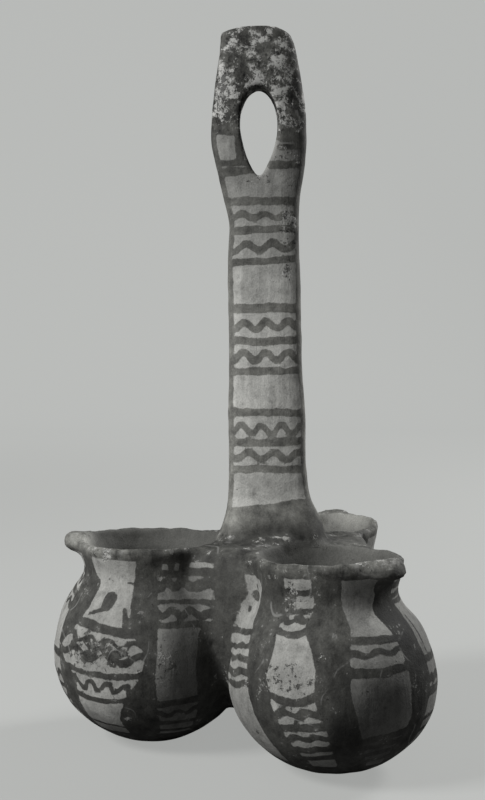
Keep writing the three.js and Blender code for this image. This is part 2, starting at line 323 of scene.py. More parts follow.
@dataclass
class Jar:
    """One round jar with an everted rim and a thumb lug."""

    plan: JarPlan
    sides: int = 72
    belly_rings: int = 26
    fine_rings: int = 40
    neck_steps: int = 9
    hollow_rings: int = 22
    foot_radius: float = 9.5
    body_wall: float = 5.0
    neck_wall: float = 4.6
    lip_width: float = 3.4
    lip_height: float = 3.0
    floor: float = 6.0
    lug_half_angle: float = 15.0
    lug_squareness: float = 4.0
    lug_root: float = 4.5
    joint_half_angle: float = 38.0
    neck_turn: float = 14.0
    mouth_cut: float = 12.0
    neck_flare: tuple[float, float] = (0.9, 5.0)
    throat_flare: tuple[float, float] = (0.6, 4.0)
    throat_turn: float = 2.0
    rim_root: float = 3.0
    lip_edge: float = 1.2
    lip_swell: float = 0.1
    lip_round: float = 1.0

    def neck_offset(self, height: Array) -> Array:
        """Says how far the jar's axis has moved sideways at each height."""
        plan = self.plan
        return plan.neck_shift * smoothstep(height, plan.neck_height - self.neck_turn, plan.neck_height)

    def belly_arc(self, inset: float, foot: float, shoulder: float, count: int) -> list[tuple[float, float]]:
        """Lays out the two half ellipses of the belly.

        Args:
            inset: The wall to take off all round.
            foot: The height of the bottom.
            shoulder: The height where the upper ellipse stops.
            count: How many rings to give.

        Returns:
            Radius and height of each ring.
        """
        plan = self.plan
        radius = plan.belly - inset
        depth = plan.belly_height - foot
        lower = depth / math.sqrt(1 - (self.foot_radius / radius) ** 2)
        upper = plan.upper_half - inset
        start = -math.asin(depth / lower)
        end = math.asin((shoulder - plan.belly_height) / upper)
        rings = []
        for angle in np.linspace(start, end, count):
            half = lower if angle < 0 else upper
            rings.append((radius * math.cos(angle), plan.belly_height + half * math.sin(angle)))
        return rings

    def outer_radius(self, height: Array) -> Array:
        """Reads the radius of the jar's outside.

        Args:
            height: The heights to read.

        Returns:
            The radius at each height.
        """
        rings = self.belly_arc(0, 0, self.plan.shoulder, self.fine_rings) + self.neck_rings()
        heights = [ring[1] for ring in rings]
        return np.interp(height, heights, [ring[0] for ring in rings])

    def neck_rings(self) -> list[tuple[float, float]]:
        """Lays out the neck.

        Returns:
            Radius and height of each ring from the shoulder to the lip.
        """
        plan = self.plan
        flare, rise = self.neck_flare
        last = self.belly_arc(0, 0, plan.shoulder, self.fine_rings)[-2:]
        knots = [
            (last[0][1], last[0][0]),
            (last[1][1], last[1][0]),
            (plan.neck_height, plan.neck),
            (plan.neck_height + rise, plan.neck + flare),
            (plan.rim_height - self.lip_height, plan.rim),
        ]
        heights = np.linspace(plan.shoulder, plan.rim_height - self.lip_height, self.neck_steps)[1:]
        return [(float(radius), float(height)) for radius, height in zip(through(knots, heights), heights)]

    def outside(self) -> bpy.types.Object:
        """Throws the jar solid, with its rim pulled out into the lug and let sag in slow waves.

        Returns:
            The closed solid.
        """
        plan = self.plan
        profile = self.belly_arc(0, 0, plan.shoulder, self.belly_rings) + self.neck_rings()
        profile += [
            (plan.rim + self.lip_swell, plan.rim_height - self.lip_edge),
            (plan.rim - self.lip_round, plan.rim_height),
        ]
        piece = Workshop.throw(plan.name + "_jar", (plan.x, plan.y), profile, self.sides)
        places = Workshop.places(piece)
        across = places[:, :2] - (plan.x, plan.y)
        angle = np.arctan2(across[:, 1], across[:, 0])
        radius = np.hypot(across[:, 0], across[:, 1])
        height = places[:, 2].copy()
        under_lip = plan.rim_height - self.lip_height
        at_rim = smoothstep(height, plan.neck_height + self.rim_root, under_lip)
        up_lip = smoothstep(height, under_lip, plan.rim_height)
        at_lug = smoothstep(height, under_lip - self.lug_root, under_lip)
        off_lug = turn_from(np.degrees(angle), plan.lug_angle)
        lug = np.exp(-((np.abs(off_lug) / self.lug_half_angle) ** self.lug_squareness)) * at_lug
        on_rim = np.minimum(radius / plan.rim, 1)
        to_handle = math.degrees(math.atan2(-plan.y, -plan.x))
        off_handle = turn_from(np.degrees(angle), to_handle)
        wave = plan.wave * np.sin(plan.waves * angle + plan.wave_phase)
        wave = (wave + plan.joint_rise * np.exp(-(off_handle / self.joint_half_angle) ** 2)) * at_rim
        reach = radius + plan.lug_reach * (1 - plan.lug_droop * up_lip) * lug * on_rim
        lift = -plan.lug_drop + (plan.lug_lift + plan.lug_drop) * up_lip
        places[:, 0] = plan.x + self.neck_offset(height) + reach * np.cos(angle)
        places[:, 1] = plan.y + reach * np.sin(angle)
        places[:, 2] = height + (lift * lug + wave) * on_rim
        Workshop.press(piece, places)
        return piece

    def hollow(self) -> bpy.types.Object:
        """Throws the air inside the jar, carried on past its rim so that it opens the mouth.

        Returns:
            The closed solid to cut away.
        """
        plan = self.plan
        flare, rise = self.throat_flare
        throat = plan.neck - self.neck_wall
        mouth = plan.rim - self.lip_width
        shoulder = plan.shoulder - self.throat_turn
        profile = self.belly_arc(self.body_wall, self.floor, shoulder, self.hollow_rings)
        profile += [
            (throat, plan.neck_height - self.throat_turn),
            (throat + flare, plan.neck_height + rise),
            (mouth, plan.rim_height),
            (mouth, plan.rim_height + self.mouth_cut),
        ]
        piece = Workshop.throw(plan.name + "_air", (plan.x, plan.y), profile, self.sides)
        places = Workshop.places(piece)
        places[:, 0] += self.neck_offset(places[:, 2])
        Workshop.press(piece, places)
        return piece


@dataclass
class StrapHandle:
    """The tall flat strap with its egg-shaped hanging hole."""

    sides: int = 64
    rings: int = 90
    top_rings: int = 8
    last_ring: float = 6.0
    top_bend: float = 5.0
    squareness: float = 2.9
    thickness: float = 13.0
    top_thickness: float = 10.0
    top_taper: float = 285.0
    foot_thickness: float = 36.0
    foot: float = 78.0
    foot_top: float = 106.0
    top: float = 300.0
    hole_x: float = -3.8
    hole_bottom: float = 237.4
    hole_top: float = 275.0
    hole_half_width: float = 7.8
    hole_widest: float = 260.0
    point_pull: tuple[float, float] = (0.34, 2.9)
    point_rise: float = 12.4
    crown_rise: float = 8.5
    crown_pull: float = 0.58
    hole_step: float = 0.05
    edges: tuple[tuple[float, float, float], ...] = (
        (74, -18, 22), (84, -20, 25), (90, -19.4, 24.2), (95, -18, 22), (101.5, -17.2, 18.6),
        (110, -16.8, 17.2), (140, -16.8, 16.2), (170, -16.5, 14.5), (205, -16.9, 13.9), (221, -16.6, 13.3),
        (231, -19.1, 13.9), (241, -21.5, 15.4), (254, -23.9, 16.4), (265, -23.6, 16.1), (278, -22, 14.4),
        (289, -20.4, 12.2), (295, -19.8, 10.6), (298.4, -18.4, 8.4), (300, -12, 4.4),
    )

    def left(self, height: Array) -> Array:
        """Reads the strap's left edge at a height."""
        return through([(z, left) for z, left, _ in self.edges], height)

    def right(self, height: Array) -> Array:
        """Reads the strap's right edge at a height."""
        return through([(z, right) for z, _, right in self.edges], height)

    def depth(self, height: Array) -> Array:
        """Reads the strap's thickness.

        Args:
            height: The heights to read.

        Returns:
            The thickness at each height.
        """
        foot = 1 - smoothstep(height, self.foot, self.foot_top)
        top = smoothstep(height, self.top_taper, self.top)
        return self.thickness + (self.foot_thickness - self.thickness) * foot \
            + (self.top_thickness - self.thickness) * top

    def strap(self) -> bpy.types.Object:
        """Draws the strap up as a round bar and presses it into squarish ovals.

        Returns:
            The closed solid.
        """
        low, high = self.edges[0][0], self.edges[-1][0]
        top = np.linspace(high - self.top_bend, high, self.top_rings)
        heights = np.concatenate([np.linspace(low, high - self.last_ring, self.rings), top])
        piece = Workshop.throw("strap", (0, 0), [(1.0, float(height)) for height in heights], self.sides)
        places = Workshop.places(piece)
        angle = np.arctan2(places[:, 1], places[:, 0])
        height = places[:, 2]
        left, right = self.left(height), self.right(height)
        places[:, 0] = (left + right) / 2 + (right - left) / 2 * squarish(np.cos(angle), self.squareness)
        places[:, 1] = self.depth(height) / 2 * squarish(np.sin(angle), self.squareness)
        Workshop.press(piece, places)
        return piece

    def egg(self) -> list[tuple[float, float]]:
        """Lays out the hole's outline, an egg with its point down, from two curves on its right half.

        Returns:
            Offset from the hole's middle line, and height, of each point.
        """
        low, wide, top, half = self.hole_bottom, self.hole_widest, self.hole_top, self.hole_half_width
        pull, rise = self.point_pull
        lower = ((0, low), (pull * half, low + rise), (half, low + self.point_rise), (half, wide))
        upper = ((half, wide), (half, wide + self.crown_rise), (self.crown_pull * half, top), (0, top))
        right = []
        for curve in (lower, upper):
            for t in np.arange(0, 1, self.hole_step):
                weights = ((1 - t) ** 3, 3 * t * (1 - t) ** 2, 3 * t * t * (1 - t), t ** 3)
                right.append(tuple(sum(w * p[i] for w, p in zip(weights, curve)) for i in (0, 1)))
        left = [(-x, z) for x, z in right[:0:-1]]
        return right + [(0, top)] + left

    def hole(self) -> bpy.types.Object:
        """Makes the cutter for the hanging hole.

        Returns:
            The closed solid to cut away.
        """
        Workshop.clear()
        outline = self.egg()
        bpy.ops.mesh.primitive_circle_add(vertices=len(outline), radius=MM, fill_type="NGON")
        piece = bpy.context.object
        places = np.array([(self.hole_x + x, -self.foot_thickness, z) for x, z in outline])
        Workshop.press(piece, places)
        bpy.ops.object.mode_set(mode="EDIT")
        bpy.ops.mesh.select_all(action="SELECT")
        through_clay = (0, 2 * self.foot_thickness * MM, 0)
        bpy.ops.mesh.extrude_region_move(TRANSFORM_OT_translate={"value": through_clay})
        Workshop.face_out()
        return piece


@dataclass
class Column:
    """The clay pressed in round the handle's axis, between the three jars."""

    sides: int = 48
    profile: tuple[tuple[float, float], ...] = (
        (4, 12), (11, 18), (16, 28), (17, 42), (17, 60), (19, 74), (21, 81), (20.5, 85), (18, 88.5),
    )

    def solid(self) -> bpy.types.Object:
        """Throws the column."""
        return Workshop.throw("column", (0, 0), self.profile, self.sides)


@dataclass
class Web:
    """A thick web of clay that fills the gap between two jars.

    Its faces are knots of height and of how far its outer face stands out from the line between the jars.
    """

    start: JarPlan
    end: JarPlan
    faces: Knots
    half_length: float = 31.0
    inner: float = 9.0
    sides: int = 48
    rings: int = 30
    squareness: float = 3.2

    def solid(self) -> bpy.types.Object:
        """Draws the web up and presses it into squarish ovals that lie along the line between the jars.

        Returns:
            The closed solid.
        """
        low, high = self.faces[0][0], self.faces[-1][0]
        heights = np.linspace(low, high, self.rings)
        piece = Workshop.throw("web", (0, 0), [(1.0, float(height)) for height in heights], self.sides)
        places = Workshop.places(piece)
        along = np.array([self.end.x - self.start.x, self.end.y - self.start.y])
        along = along / np.linalg.norm(along)
        outward = np.array([along[1], -along[0]])
        middle = np.array([self.start.x + self.end.x, self.start.y + self.end.y]) / 2
        angle = np.arctan2(-places[:, 1], places[:, 0])
        face = through(self.faces, places[:, 2])
        across = self.half_length * squarish(np.cos(angle), self.squareness)
        deep = (face + self.inner) / 2 * squarish(np.sin(angle), self.squareness) + (face - self.inner) / 2
        places[:, :2] = middle + across[:, None] * along + deep[:, None] * outward
        Workshop.press(piece, places)
        return piece


FRONT_WEB = (
    (15, -4), (20, 4), (26, 9), (34, 13), (44, 15.5), (60, 16), (74, 15.5), (80, 14.5), (83.5, 12.5),
    (85.5, 9),
)
SIDE_WEB = (
    (15, -4), (20, 2), (26, 6), (34, 9), (44, 11), (60, 11.5), (70, 13.5), (77, 19), (82, 20.5), (84.5, 17),
)
HIDDEN_WEB = (
    (15, -4), (20, 2), (26, 6), (34, 9), (44, 11), (60, 11.5), (74, 11.5), (80, 11), (83, 9.5), (85, 6.5),
)


@dataclass
class Vessel:
    """The whole pot as one skin."""

    jars: tuple[Jar, ...] = (Jar(LEFT_JAR), Jar(FRONT_JAR), Jar(BACK_JAR))
    webs: tuple[Web, ...] = (
        Web(LEFT_JAR, FRONT_JAR, FRONT_WEB),
        Web(FRONT_JAR, BACK_JAR, SIDE_WEB),
        Web(BACK_JAR, LEFT_JAR, HIDDEN_WEB),
    )
    handle: StrapHandle = field(default_factory=StrapHandle)
    skin: float = 1.2
    melt: float = 0.5
    melt_rounds: int = 5
    joint_rounds: int = 18
    joint_radii: tuple[float, float] = (37.0, 50.0)
    joint_foot: tuple[float, float] = (12.0, 24.0)
    joint_top: tuple[float, float] = (104.0, 116.0)
    kept_share: float = 0.72
    hollow_pull: float = 1000.0
    hollow_floor: float = 3.0
    hollow_top: float = 5.0
    hollow_depth: float = 0.6
    finger_dents: tuple[Swell, ...] = (Swell(0.42, 17, 4.4), Swell(0.16, 6, 8.8))
    rim_chips: Swell = Swell(0.45, 5, 6.1)
    press_in: float = 0.1
    rims_from: tuple[float, float] = (78.0, 82.0)
    rims_to: tuple[float, float] = (89.0, 91.0)

    def body(self) -> bpy.types.Object:
        """Joins, hollows and melts the pot into one skin.

        Returns:
            The skin, about the handle's axis.
        """
        clay = Column().solid()
        for web in self.webs:
            Workshop.cut_or_join(clay, web.solid(), Clay.JOIN)
        for jar in self.jars:
            Workshop.cut_or_join(clay, jar.outside(), Clay.JOIN)
        Workshop.cut_or_join(clay, self.handle.strap(), Clay.JOIN)
        for jar in self.jars:
            Workshop.cut_or_join(clay, jar.hollow(), Clay.CUT)
        Workshop.cut_or_join(clay, self.handle.hole(), Clay.CUT)
        Workshop.work(clay, "REMESH", mode="VOXEL", voxel_size=self.skin * MM)
        self.keep_largest(clay)
        Workshop.work(clay, "SMOOTH", factor=self.melt, iterations=self.melt_rounds)
        near = self.near_joint(Workshop.places(clay))
        Workshop.work_part(clay, near, "SMOOTH", factor=self.melt, iterations=self.joint_rounds)
        hollows = self.in_hollows(Workshop.places(clay)).astype(float)
        Workshop.work_part(
            clay, hollows, "DECIMATE", ratio=self.kept_share, vertex_group_factor=self.hollow_pull,
        )
        return clay

    def near_joint(self, places: Array) -> Array:
        """Says how near each point lies to where the jars, webs and handle meet.

        Args:
            places: Places in millimetres, one row each.

        Returns:
            A share from 0 to 1 for each.
        """
        height = places[:, 2]
        inward = 1 - smoothstep(np.hypot(places[:, 0], places[:, 1]), *self.joint_radii)
        return inward * smoothstep(height, *self.joint_foot) * (1 - smoothstep(height, *self.joint_top))

    def handle_marks(self, piece: bpy.types.Object) -> None:
        """Presses in the soft dents of the potter's fingers, and chips and sags along the rims.

        Args:
            piece: The skin, about the handle's axis.
        """
        places, normals = Workshop.places(piece), Workshop.normals(piece)
        height = places[:, 2]
        rims = smoothstep(height, *self.rims_from) * (1 - smoothstep(height, *self.rims_to))
        dent = sum(swell.at(places) for swell in self.finger_dents) - self.press_in
        dent = dent + rims * (self.rim_chips.at(places) - self.press_in)
        Workshop.press(piece, places + dent[:, None] * normals)

    def set_down(self, piece: bpy.types.Object) -> None:
        """Carries the pot from the handle's axis to its place on the ground, inside its measured box.

        Args:
            piece: The finished skin.
        """
        places = Workshop.places(piece)
        places[:, 0] += HANDLE_AXIS[0]
        places[:, 1] += HANDLE_AXIS[1]
        low, high = (np.array(corner) / MM for corner in cad_box)
        Workshop.press(piece, np.clip(places, low, high))

    def in_hollows(self, places: Array) -> Array:
        """Says which points lie on the walls of the hollows, below the rims.

        Args:
            places: Places in millimetres, one row each.

        Returns:
            True for each point that does.
        """
        height = places[:, 2]
        found = np.zeros(len(places), bool)
        for jar in self.jars:
            radius = np.hypot(places[:, 0] - jar.plan.x - jar.neck_offset(height), places[:, 1] - jar.plan.y)
            below = (height > self.hollow_floor) & (height < jar.plan.rim_height - self.hollow_top)
            found |= below & (radius < jar.outer_radius(height) - self.hollow_depth * jar.body_wall)
        return found

    @staticmethod
    def keep_largest(piece: bpy.types.Object) -> None:
        """Deletes every part of a mesh that isn't joined to its largest part.

        Args:
            piece: The piece, which is the active object.
        """
        mesh = piece.data
        parent = np.arange(len(mesh.vertices))
        ends = np.empty(len(mesh.edges) * 2, int)
        mesh.edges.foreach_get("vertices", ends)
        ends = ends.reshape(-1, 2)
        changed = True
        while changed:
            low = np.minimum(parent[ends[:, 0]], parent[ends[:, 1]])
            before = parent.copy()
            np.minimum.at(parent, ends[:, 0], low)
            np.minimum.at(parent, ends[:, 1], low)
            parent = parent[parent]
            changed = bool((before != parent).any())
        labels, counts = np.unique(parent, return_counts=True)
        loose = parent != labels[counts.argmax()]
        if loose.any():
            Workshop.pick(piece, loose)
            bpy.ops.mesh.delete(type="VERT")
            bpy.ops.object.mode_set(mode="OBJECT")
        log.info("parts of the skin: %d, kept the largest of %d points", len(labels), counts.max())


@dataclass(frozen=True)
class Line:
    """One dark line drawn across a panel: its height at both ends, its waves and its sag, in millimetres."""

    left: float
    right: float
    half: float = 1.3
    sag: float = 0.0
    wave: float = 0.0
    waves: float = 3.0
    phase: float = 0.0

    def reach(self, share: Array, height: Array, width: Array, stretch: Array) -> Array:
        """Says how far inside the line each point is.

        Args:
            share: How far across the panel a point is, from 0 to 1.
            height: Its height.
            width: The panel's width there.
            stretch: How many millimetres of skin one millimetre of height is.

        Returns:
            Millimetres inside the line, below 0 outside it.
        """
        turn = 2 * math.pi * (self.waves * share + self.phase)
        middle = self.left + (self.right - self.left) * share + self.sag * 4 * share * (1 - share)
        middle = middle + self.wave * np.sin(turn)
        slope = (self.right - self.left + 2 * math.pi * self.waves * self.wave * np.cos(turn)) / width
        return self.half - np.abs(height - middle) * stretch / np.sqrt(1 + slope * slope)


@dataclass(frozen=True)
class Daub:
    """A short stroke or spot: its two ends, as place across and height, and its half width at each end."""

    start: tuple[float, float]
    end: tuple[float, float]
    half: float
    end_half: float

    def reach(self, across: Array, height: Array, unit: Array, stretch: Array) -> Array:
        """Says how far inside the daub each point is.

        Args:
            across: Each point's place across, in the panel's own unit.
            height: Its height.
            unit: How many millimetres one unit across is there.
            stretch: How many millimetres of skin one millimetre of height is.

        Returns:
            Millimetres inside the daub, below 0 outside it.
        """
        run = np.stack([(self.end[0] - self.start[0]) * unit, (self.end[1] - self.start[1]) * stretch], -1)
        away = np.stack([(across - self.start[0]) * unit, (height - self.start[1]) * stretch], -1)
        share = np.clip((run * away).sum(-1) / np.maximum((run * run).sum(-1), 1e-6), 0, 1)
        gap = np.linalg.norm(away - run * share[:, None], axis=-1)
        return self.half + (self.end_half - self.half) * share - gap


@dataclass(frozen=True)
class Panel:
    """One pale panel left between two broad dark bands, with its lines and daubs.

    Its edges are knots of height and angle in degrees, from the bottom up.
    """

    left: Knots
    right: Knots
    lines: tuple[Line, ...] = ()
    daubs: tuple[Daub, ...] = ()
    top: float = 80.5
    bottom: float = 9.5
    tone: float = 1.0

    def middle(self) -> float:
        """Gives the angle that the panel lies about."""
        return (self.left[len(self.left) // 2][1] + self.right[len(self.right) // 2][1]) / 2


class Layer(Enum):
    """What a patch changes: flaked paint, scraps of paint on slip, pale crust, or a colour's brightness,
    which is partly stain and partly painted light and shade.
    """

    WEAR = "wear"
    SCRAPS = "scraps"
    CRUST = "crust"
    SLIP = "slip"
    PAINT = "paint"
    BOTH = "both"


@dataclass(frozen=True)
class Patch:
    """A soft round patch of wear, crust or tone, the tone partly painted light and shade.

    Across is an angle in degrees on a jar and a place in millimetres on the strap. The half sizes are in
    millimetres. The strength is a share for wear and crust, and a power of e for brightness.
    """

    layer: Layer
    across: float
    height: float
    half_width: float
    half_height: float
    strength: float

    def reach(self, places: Array, middle: tuple[float, float]) -> Array:
        """Reads the patch.

        Args:
            places: Places in millimetres, one row each.
            middle: Where the patch's middle stands in the plan.

        Returns:
            The patch's strength at each point.
        """
        off = ((places[:, 0] - middle[0]) ** 2 + (places[:, 1] - middle[1]) ** 2) / self.half_width ** 2
        off = off + ((places[:, 2] - self.height) / self.half_height) ** 2
        return self.strength * np.exp(-off ** 1.5)


def spread(layer: Layer, rows: Sequence[tuple[float, ...]]) -> tuple[Patch, ...]:
    """Makes a layer's patches from rows of across, height, half width, half height and strength."""
    return tuple(Patch(layer, *row) for row in rows)


def ladder(levels: Sequence[float], tilt: float = 0.0, half: float = 1.35, wave: float = 1.1,
           waves: float = 3.0, phase: float = 0.0) -> tuple[Line, ...]:
    """Lays out a group of lines that are straight and wavy by turns.

    Args:
        levels: The height of each line at the panel's middle, from the top down.
        tilt: How much higher the right end is.
        half: Half the thickness of a line.
        wave: How high the wavy lines swing.
        waves: How many swings a wavy line has.
        phase: Where a wavy line starts its swing, in turns.

    Returns:
        The lines, the first of them straight.
    """
    lines = []
    for order, level in enumerate(levels):
        wavy = order % 2 == 1
        lines.append(Line(
            level - tilt / 2, level + tilt / 2, half * (0.82 if wavy else 1.0), 0.0,
            wave if wavy else 0.0, waves, phase + 0.27 * order,
        ))
    return tuple(lines)


def hidden_panel(middle: float, half: float, lean: float, levels: Sequence[float], low: Sequence[float],
                 phase: float, tone: float = 0.9) -> Panel:
    """Lays out a panel on a side that the photograph doesn't show.

    Args:
        middle: The angle of its middle at the belly.
        half: Half its width at the belly, in degrees.
        lean: How far its top leans round, in degrees.
        levels: The heights of its upper group of lines.
        low: The heights of its lower group of lines.
        phase: Where its wavy lines start, in turns.
        tone: How bright its slip is, 1 for clean slip.

    Returns:
        The panel.
    """
    shape = (
        (9, 0.55, -0.8), (22, 0.82, -0.4), (38, 1.0, 0.0), (55, 0.95, 0.3), (66, 0.82, 0.6), (80, 0.8, 1.0),
    )
    left = tuple((height, middle - half * width + lean * shift) for height, width, shift in shape)
    right = tuple((height, middle + half * width + lean * shift) for height, width, shift in shape)
    lines = ladder(levels, tilt=0.8, phase=phase) + ladder(low, tilt=-0.6, waves=2.5, phase=phase + 0.4)
    return Panel(left, right, lines, tone=tone)


LEFT_JAR_PANELS = (
    Panel(
        left=((12, 182), (30, 174), (50, 170), (62, 172), (80, 176)),
        right=((12, 213), (34, 210), (44, 207), (51, 206), (60, 205), (70, 198), (80, 200)),
        lines=(
            ladder((73.6, 69.4, 65.0, 61.2), tilt=-1.4, phase=0.1)
            + ladder((40.4, 31.5, 27.0, 22.5, 18.0), phase=0.3)
        ),
    ),
    Panel(
        left=(
            (10, 226), (24, 224), (31, 225), (35, 222), (40, 214), (45, 211), (51, 219), (55, 223), (59, 226),
            (67, 229), (71, 228), (75, 220), (80, 218),
        ),
        right=(
            (10, 255), (16, 253), (25, 257), (30, 261), (36, 266), (41, 269), (46, 269), (49, 266), (54, 262),
            (60, 260), (71, 260), (80, 262),
        ),
        lines=(
            Line(55.6, 53.0, 1.9),
            Line(49.8, 48.4, 1.1, wave=1.2, waves=3.3, phase=0.1),
            Line(44.6, 43.0, 1.4, wave=1.5, waves=2.7, phase=0.6),
            Line(37.2, 36.8, 1.3, sag=-1.2),
            Line(31.6, 30.6, 1.15, wave=1.7, waves=3.4, phase=0.15),
            Line(27.0, 26.5, 1.2, sag=-1.6),
            Line(14.0, 13.0, 0.7),
        ),
        daubs=(
            Daub((243.6, 65.4), (242.2, 63.2), 2.9, 2.9),
            Daub((242, 62.0), (230, 58.6), 1.3, 0.6),
            Daub((237, 72.2), (243, 71.8), 0.4, 0.4),
            Daub((255, 71.5), (258.5, 71.3), 0.5, 0.5),
            Daub((256, 62), (258, 56), 0.9, 1.4),
            Daub((248, 46), (252, 41.5), 1.5, 1.8),
            Daub((232, 49), (236, 46.5), 1.2, 0.8),
            Daub((226, 43), (229, 41), 1.0, 0.7),
        ),
    ),
    Panel(
        left=(
            (10, 280.5), (14.6, 279.2), (21.3, 277.4), (28.2, 276.7), (35.4, 276.1), (43.4, 276.7),
            (51, 277.4), (57.6, 277.7), (63.6, 278.1), (68.9, 278.6), (74.8, 278.9), (81.2, 279.4),
        ),
        right=(
            (10.5, 305.1), (17.1, 303.9), (23.6, 302.1), (29.6, 299.9), (38.1, 298.7), (45.9, 299.9),
            (52.6, 302.5), (56.1, 308.2), (63.2, 310.2), (69.3, 310.3), (75.2, 310.8), (81, 312.4),
        ),
        lines=(
            Line(75.8, 76.1, 1.5, sag=-0.8),
            Line(70.7, 71.0, 1.95, wave=1.0, waves=2.6, phase=0.65),
            Line(64.5, 64.0, 1.1),
            Line(60.5, 59.6, 1.65, wave=1.0, waves=2.6, phase=0.49),
            Line(56.3, 55.4, 1.25),
            Line(24.8, 26.0, 1.6),
            Line(20.2, 20.8, 1.2, wave=0.9, waves=2.2, phase=0.2),
            Line(15.4, 15.6, 1.1),
            Line(11.4, 11.2, 0.9),
        ),
        daubs=(
            Daub((280, 80.0), (280, 77.5), 1.1, 0.9),
            Daub((289.3, 80.0), (289.3, 77.5), 1.6, 1.4),
            Daub((299.8, 80.0), (299.8, 77.5), 2.3, 2.1),
        ),
        top=79.5,
    ),
    hidden_panel(86, 17, 5, (63, 58.5, 54, 49.5), (27, 22.5, 18), 0.2, 0.86),
    hidden_panel(135, 19, -6, (65, 60.5, 56), (31, 26.5, 22, 17), 0.6, 0.94),
)

FRONT_JAR_PANELS = (
    Panel(
        left=(
            (6, 204), (15, 189), (25, 176), (30.4, 169), (34, 172), (38, 180), (42, 182), (46, 178),
            (50, 176.6), (55.2, 177.4), (58.7, 177.7), (62.2, 178.2), (68.6, 179.6), (76.5, 178.3),
        ),
        right=(
            (6.3, 232.7), (15.5, 228.6), (22.3, 223.8), (28.6, 219.8), (33.7, 217.7), (40, 214), (46, 211.5),
            (50.7, 209.5), (55, 204.5), (58.5, 201), (62.9, 196), (67.3, 195.7), (70.1, 196.5), (73.3, 199.6),
            (77.2, 199.3),
        ),
        lines=(
            Line(53.8, 57.4, 1.3),
            Line(47.8, 52.8, 0.95, wave=0.3, waves=2.0),
            Line(44.1, 48.4, 1.1, wave=0.4, waves=1.5, phase=0.3),
            Line(39.0, 43.7, 1.5, wave=0.4, waves=1.5, phase=0.1),
            Line(33.5, 39.7, 1.2, wave=0.4, waves=2.0, phase=0.5),
        ),
        daubs=(
            Daub((185.5, 69.2), (190, 69.2), 2.0, 2.0),
            Daub((187, 73.2), (187.2, 72.8), 0.9, 0.9),
            Daub((182.3, 64.4), (182.3, 62.6), 0.6, 0.6),
        ),
        top=76.8,
        tone=0.95,
    ),
    Panel(
        left=(
            (11, 251), (15, 246), (19, 242), (23, 239), (27, 237), (32, 234), (36, 232), (39, 231), (45, 228),
            (50, 229), (59, 228), (62, 227), (66, 231), (69, 228), (80, 228),
        ),
        right=(
            (11, 269), (17, 266), (21, 264), (25, 263), (29, 262), (33, 260), (36, 258), (41, 257), (49, 256),
            (56, 253), (60, 249), (64, 248), (66, 250), (80, 250),
        ),
        lines=(
            Line(74.3, 75.4, 1.3),
            Line(67.4, 68.3, 1.25),
            Line(63.9, 65.1, 1.25, wave=0.7, waves=1.8, phase=0.3),
            Line(60.4, 61.2, 1.45, sag=-1.2),
            Line(38.2, 39.8, 1.5, sag=-1.9),
            Line(31.8, 33.5, 1.45, wave=0.9, waves=2.0, phase=0.75),
            Line(26.0, 28.6, 1.6),
            Line(21.9, 24.0, 1.3, wave=0.65, waves=2.0, phase=0.75),
            Line(17.2, 19.4, 1.5, wave=0.3, waves=2.0),
            Line(13.6, 15.2, 1.4),
        ),
        daubs=(
            Daub((232.3, 74.3), (232, 70.6), 2.5, 2.4),
            Daub((246.6, 29.9), (246.8, 29.6), 1.0, 1.0),
        ),
    ),
    Panel(
        left=(
            (10, 291), (17, 285), (23, 282), (26, 280), (32, 279), (39, 276), (47, 275), (52, 275), (56, 276),
            (61, 277), (64, 277), (69, 274), (74, 272), (80, 272),
        ),
        right=(
            (10, 304), (24, 309), (27, 311), (38, 311), (47, 311), (57, 309), (62, 306), (65, 302), (69, 299),
            (72, 301), (76, 300), (80, 298),
        ),
        lines=(
            Line(59.0, 58.5, 1.6),
            Line(54.2, 54.4, 1.3, wave=0.6, waves=2.2, phase=0.1),
            Line(48.6, 48.5, 1.75, sag=-0.6),
            Line(22.2, 23.9, 1.5),
            Line(18.8, 20.4, 1.3, wave=0.5, waves=2.0),
            Line(15.4, 16.8, 1.3),
            Line(12.0, 13.2, 1.2),
        ),
        # Slip darker on this panel, which faces front right: partly stain, partly painted shade
        tone=0.75,
    ),
    Panel(
        left=(
            (10, 322), (20, 328), (26, 327), (35, 329), (50, 330), (54, 329), (60, 331), (66, 332), (69, 328),
            (74, 324), (80, 324),
        ),
        right=((10, 350), (40, 360), (60, 363), (80, 362)),
        lines=(
            Line(76.0, 76.0, 1.7),
            Line(71.7, 71.9, 0.9),
            Line(68.8, 69.2, 1.2),
            Line(48.2, 47.6, 1.4),
            Line(40.6, 40.2, 1.6, wave=0.5, waves=3),
            Line(36.0, 35.8, 1.7),
            Line(26.0, 26.4, 1.0),
            Line(20.8, 21.4, 1.0),
        ),
        daubs=(Daub((336, 63.5), (334.5, 50.5), 0.55, 0.5),),
    ),
    hidden_panel(382, 13, 4, (64, 59.5, 55), (30, 25.5, 21, 16.5), 0.5, 0.9),
    hidden_panel(418, 14, 3, (61, 56.5, 52, 47.5), (26, 21.5, 17), 0.9, 0.84),
)

BACK_JAR_PANELS = (
    hidden_panel(-28, 14, 4, (63, 58.5, 54), (29, 24.5, 20), 0.1, 0.9),
    hidden_panel(18, 15, -5, (66, 61.5, 57, 52.5), (27, 22.5, 18), 0.45, 0.95),
    hidden_panel(64, 16, 5, (62, 57.5, 53), (31, 26.5, 22, 17.5), 0.7, 0.88),
    hidden_panel(112, 16, -4, (65, 60.5, 56, 51.5), (28, 23.5, 19), 0.25, 0.9),
    hidden_panel(160, 16, 4, (63, 58.5, 54), (30, 25.5, 21), 0.85, 0.85),
)

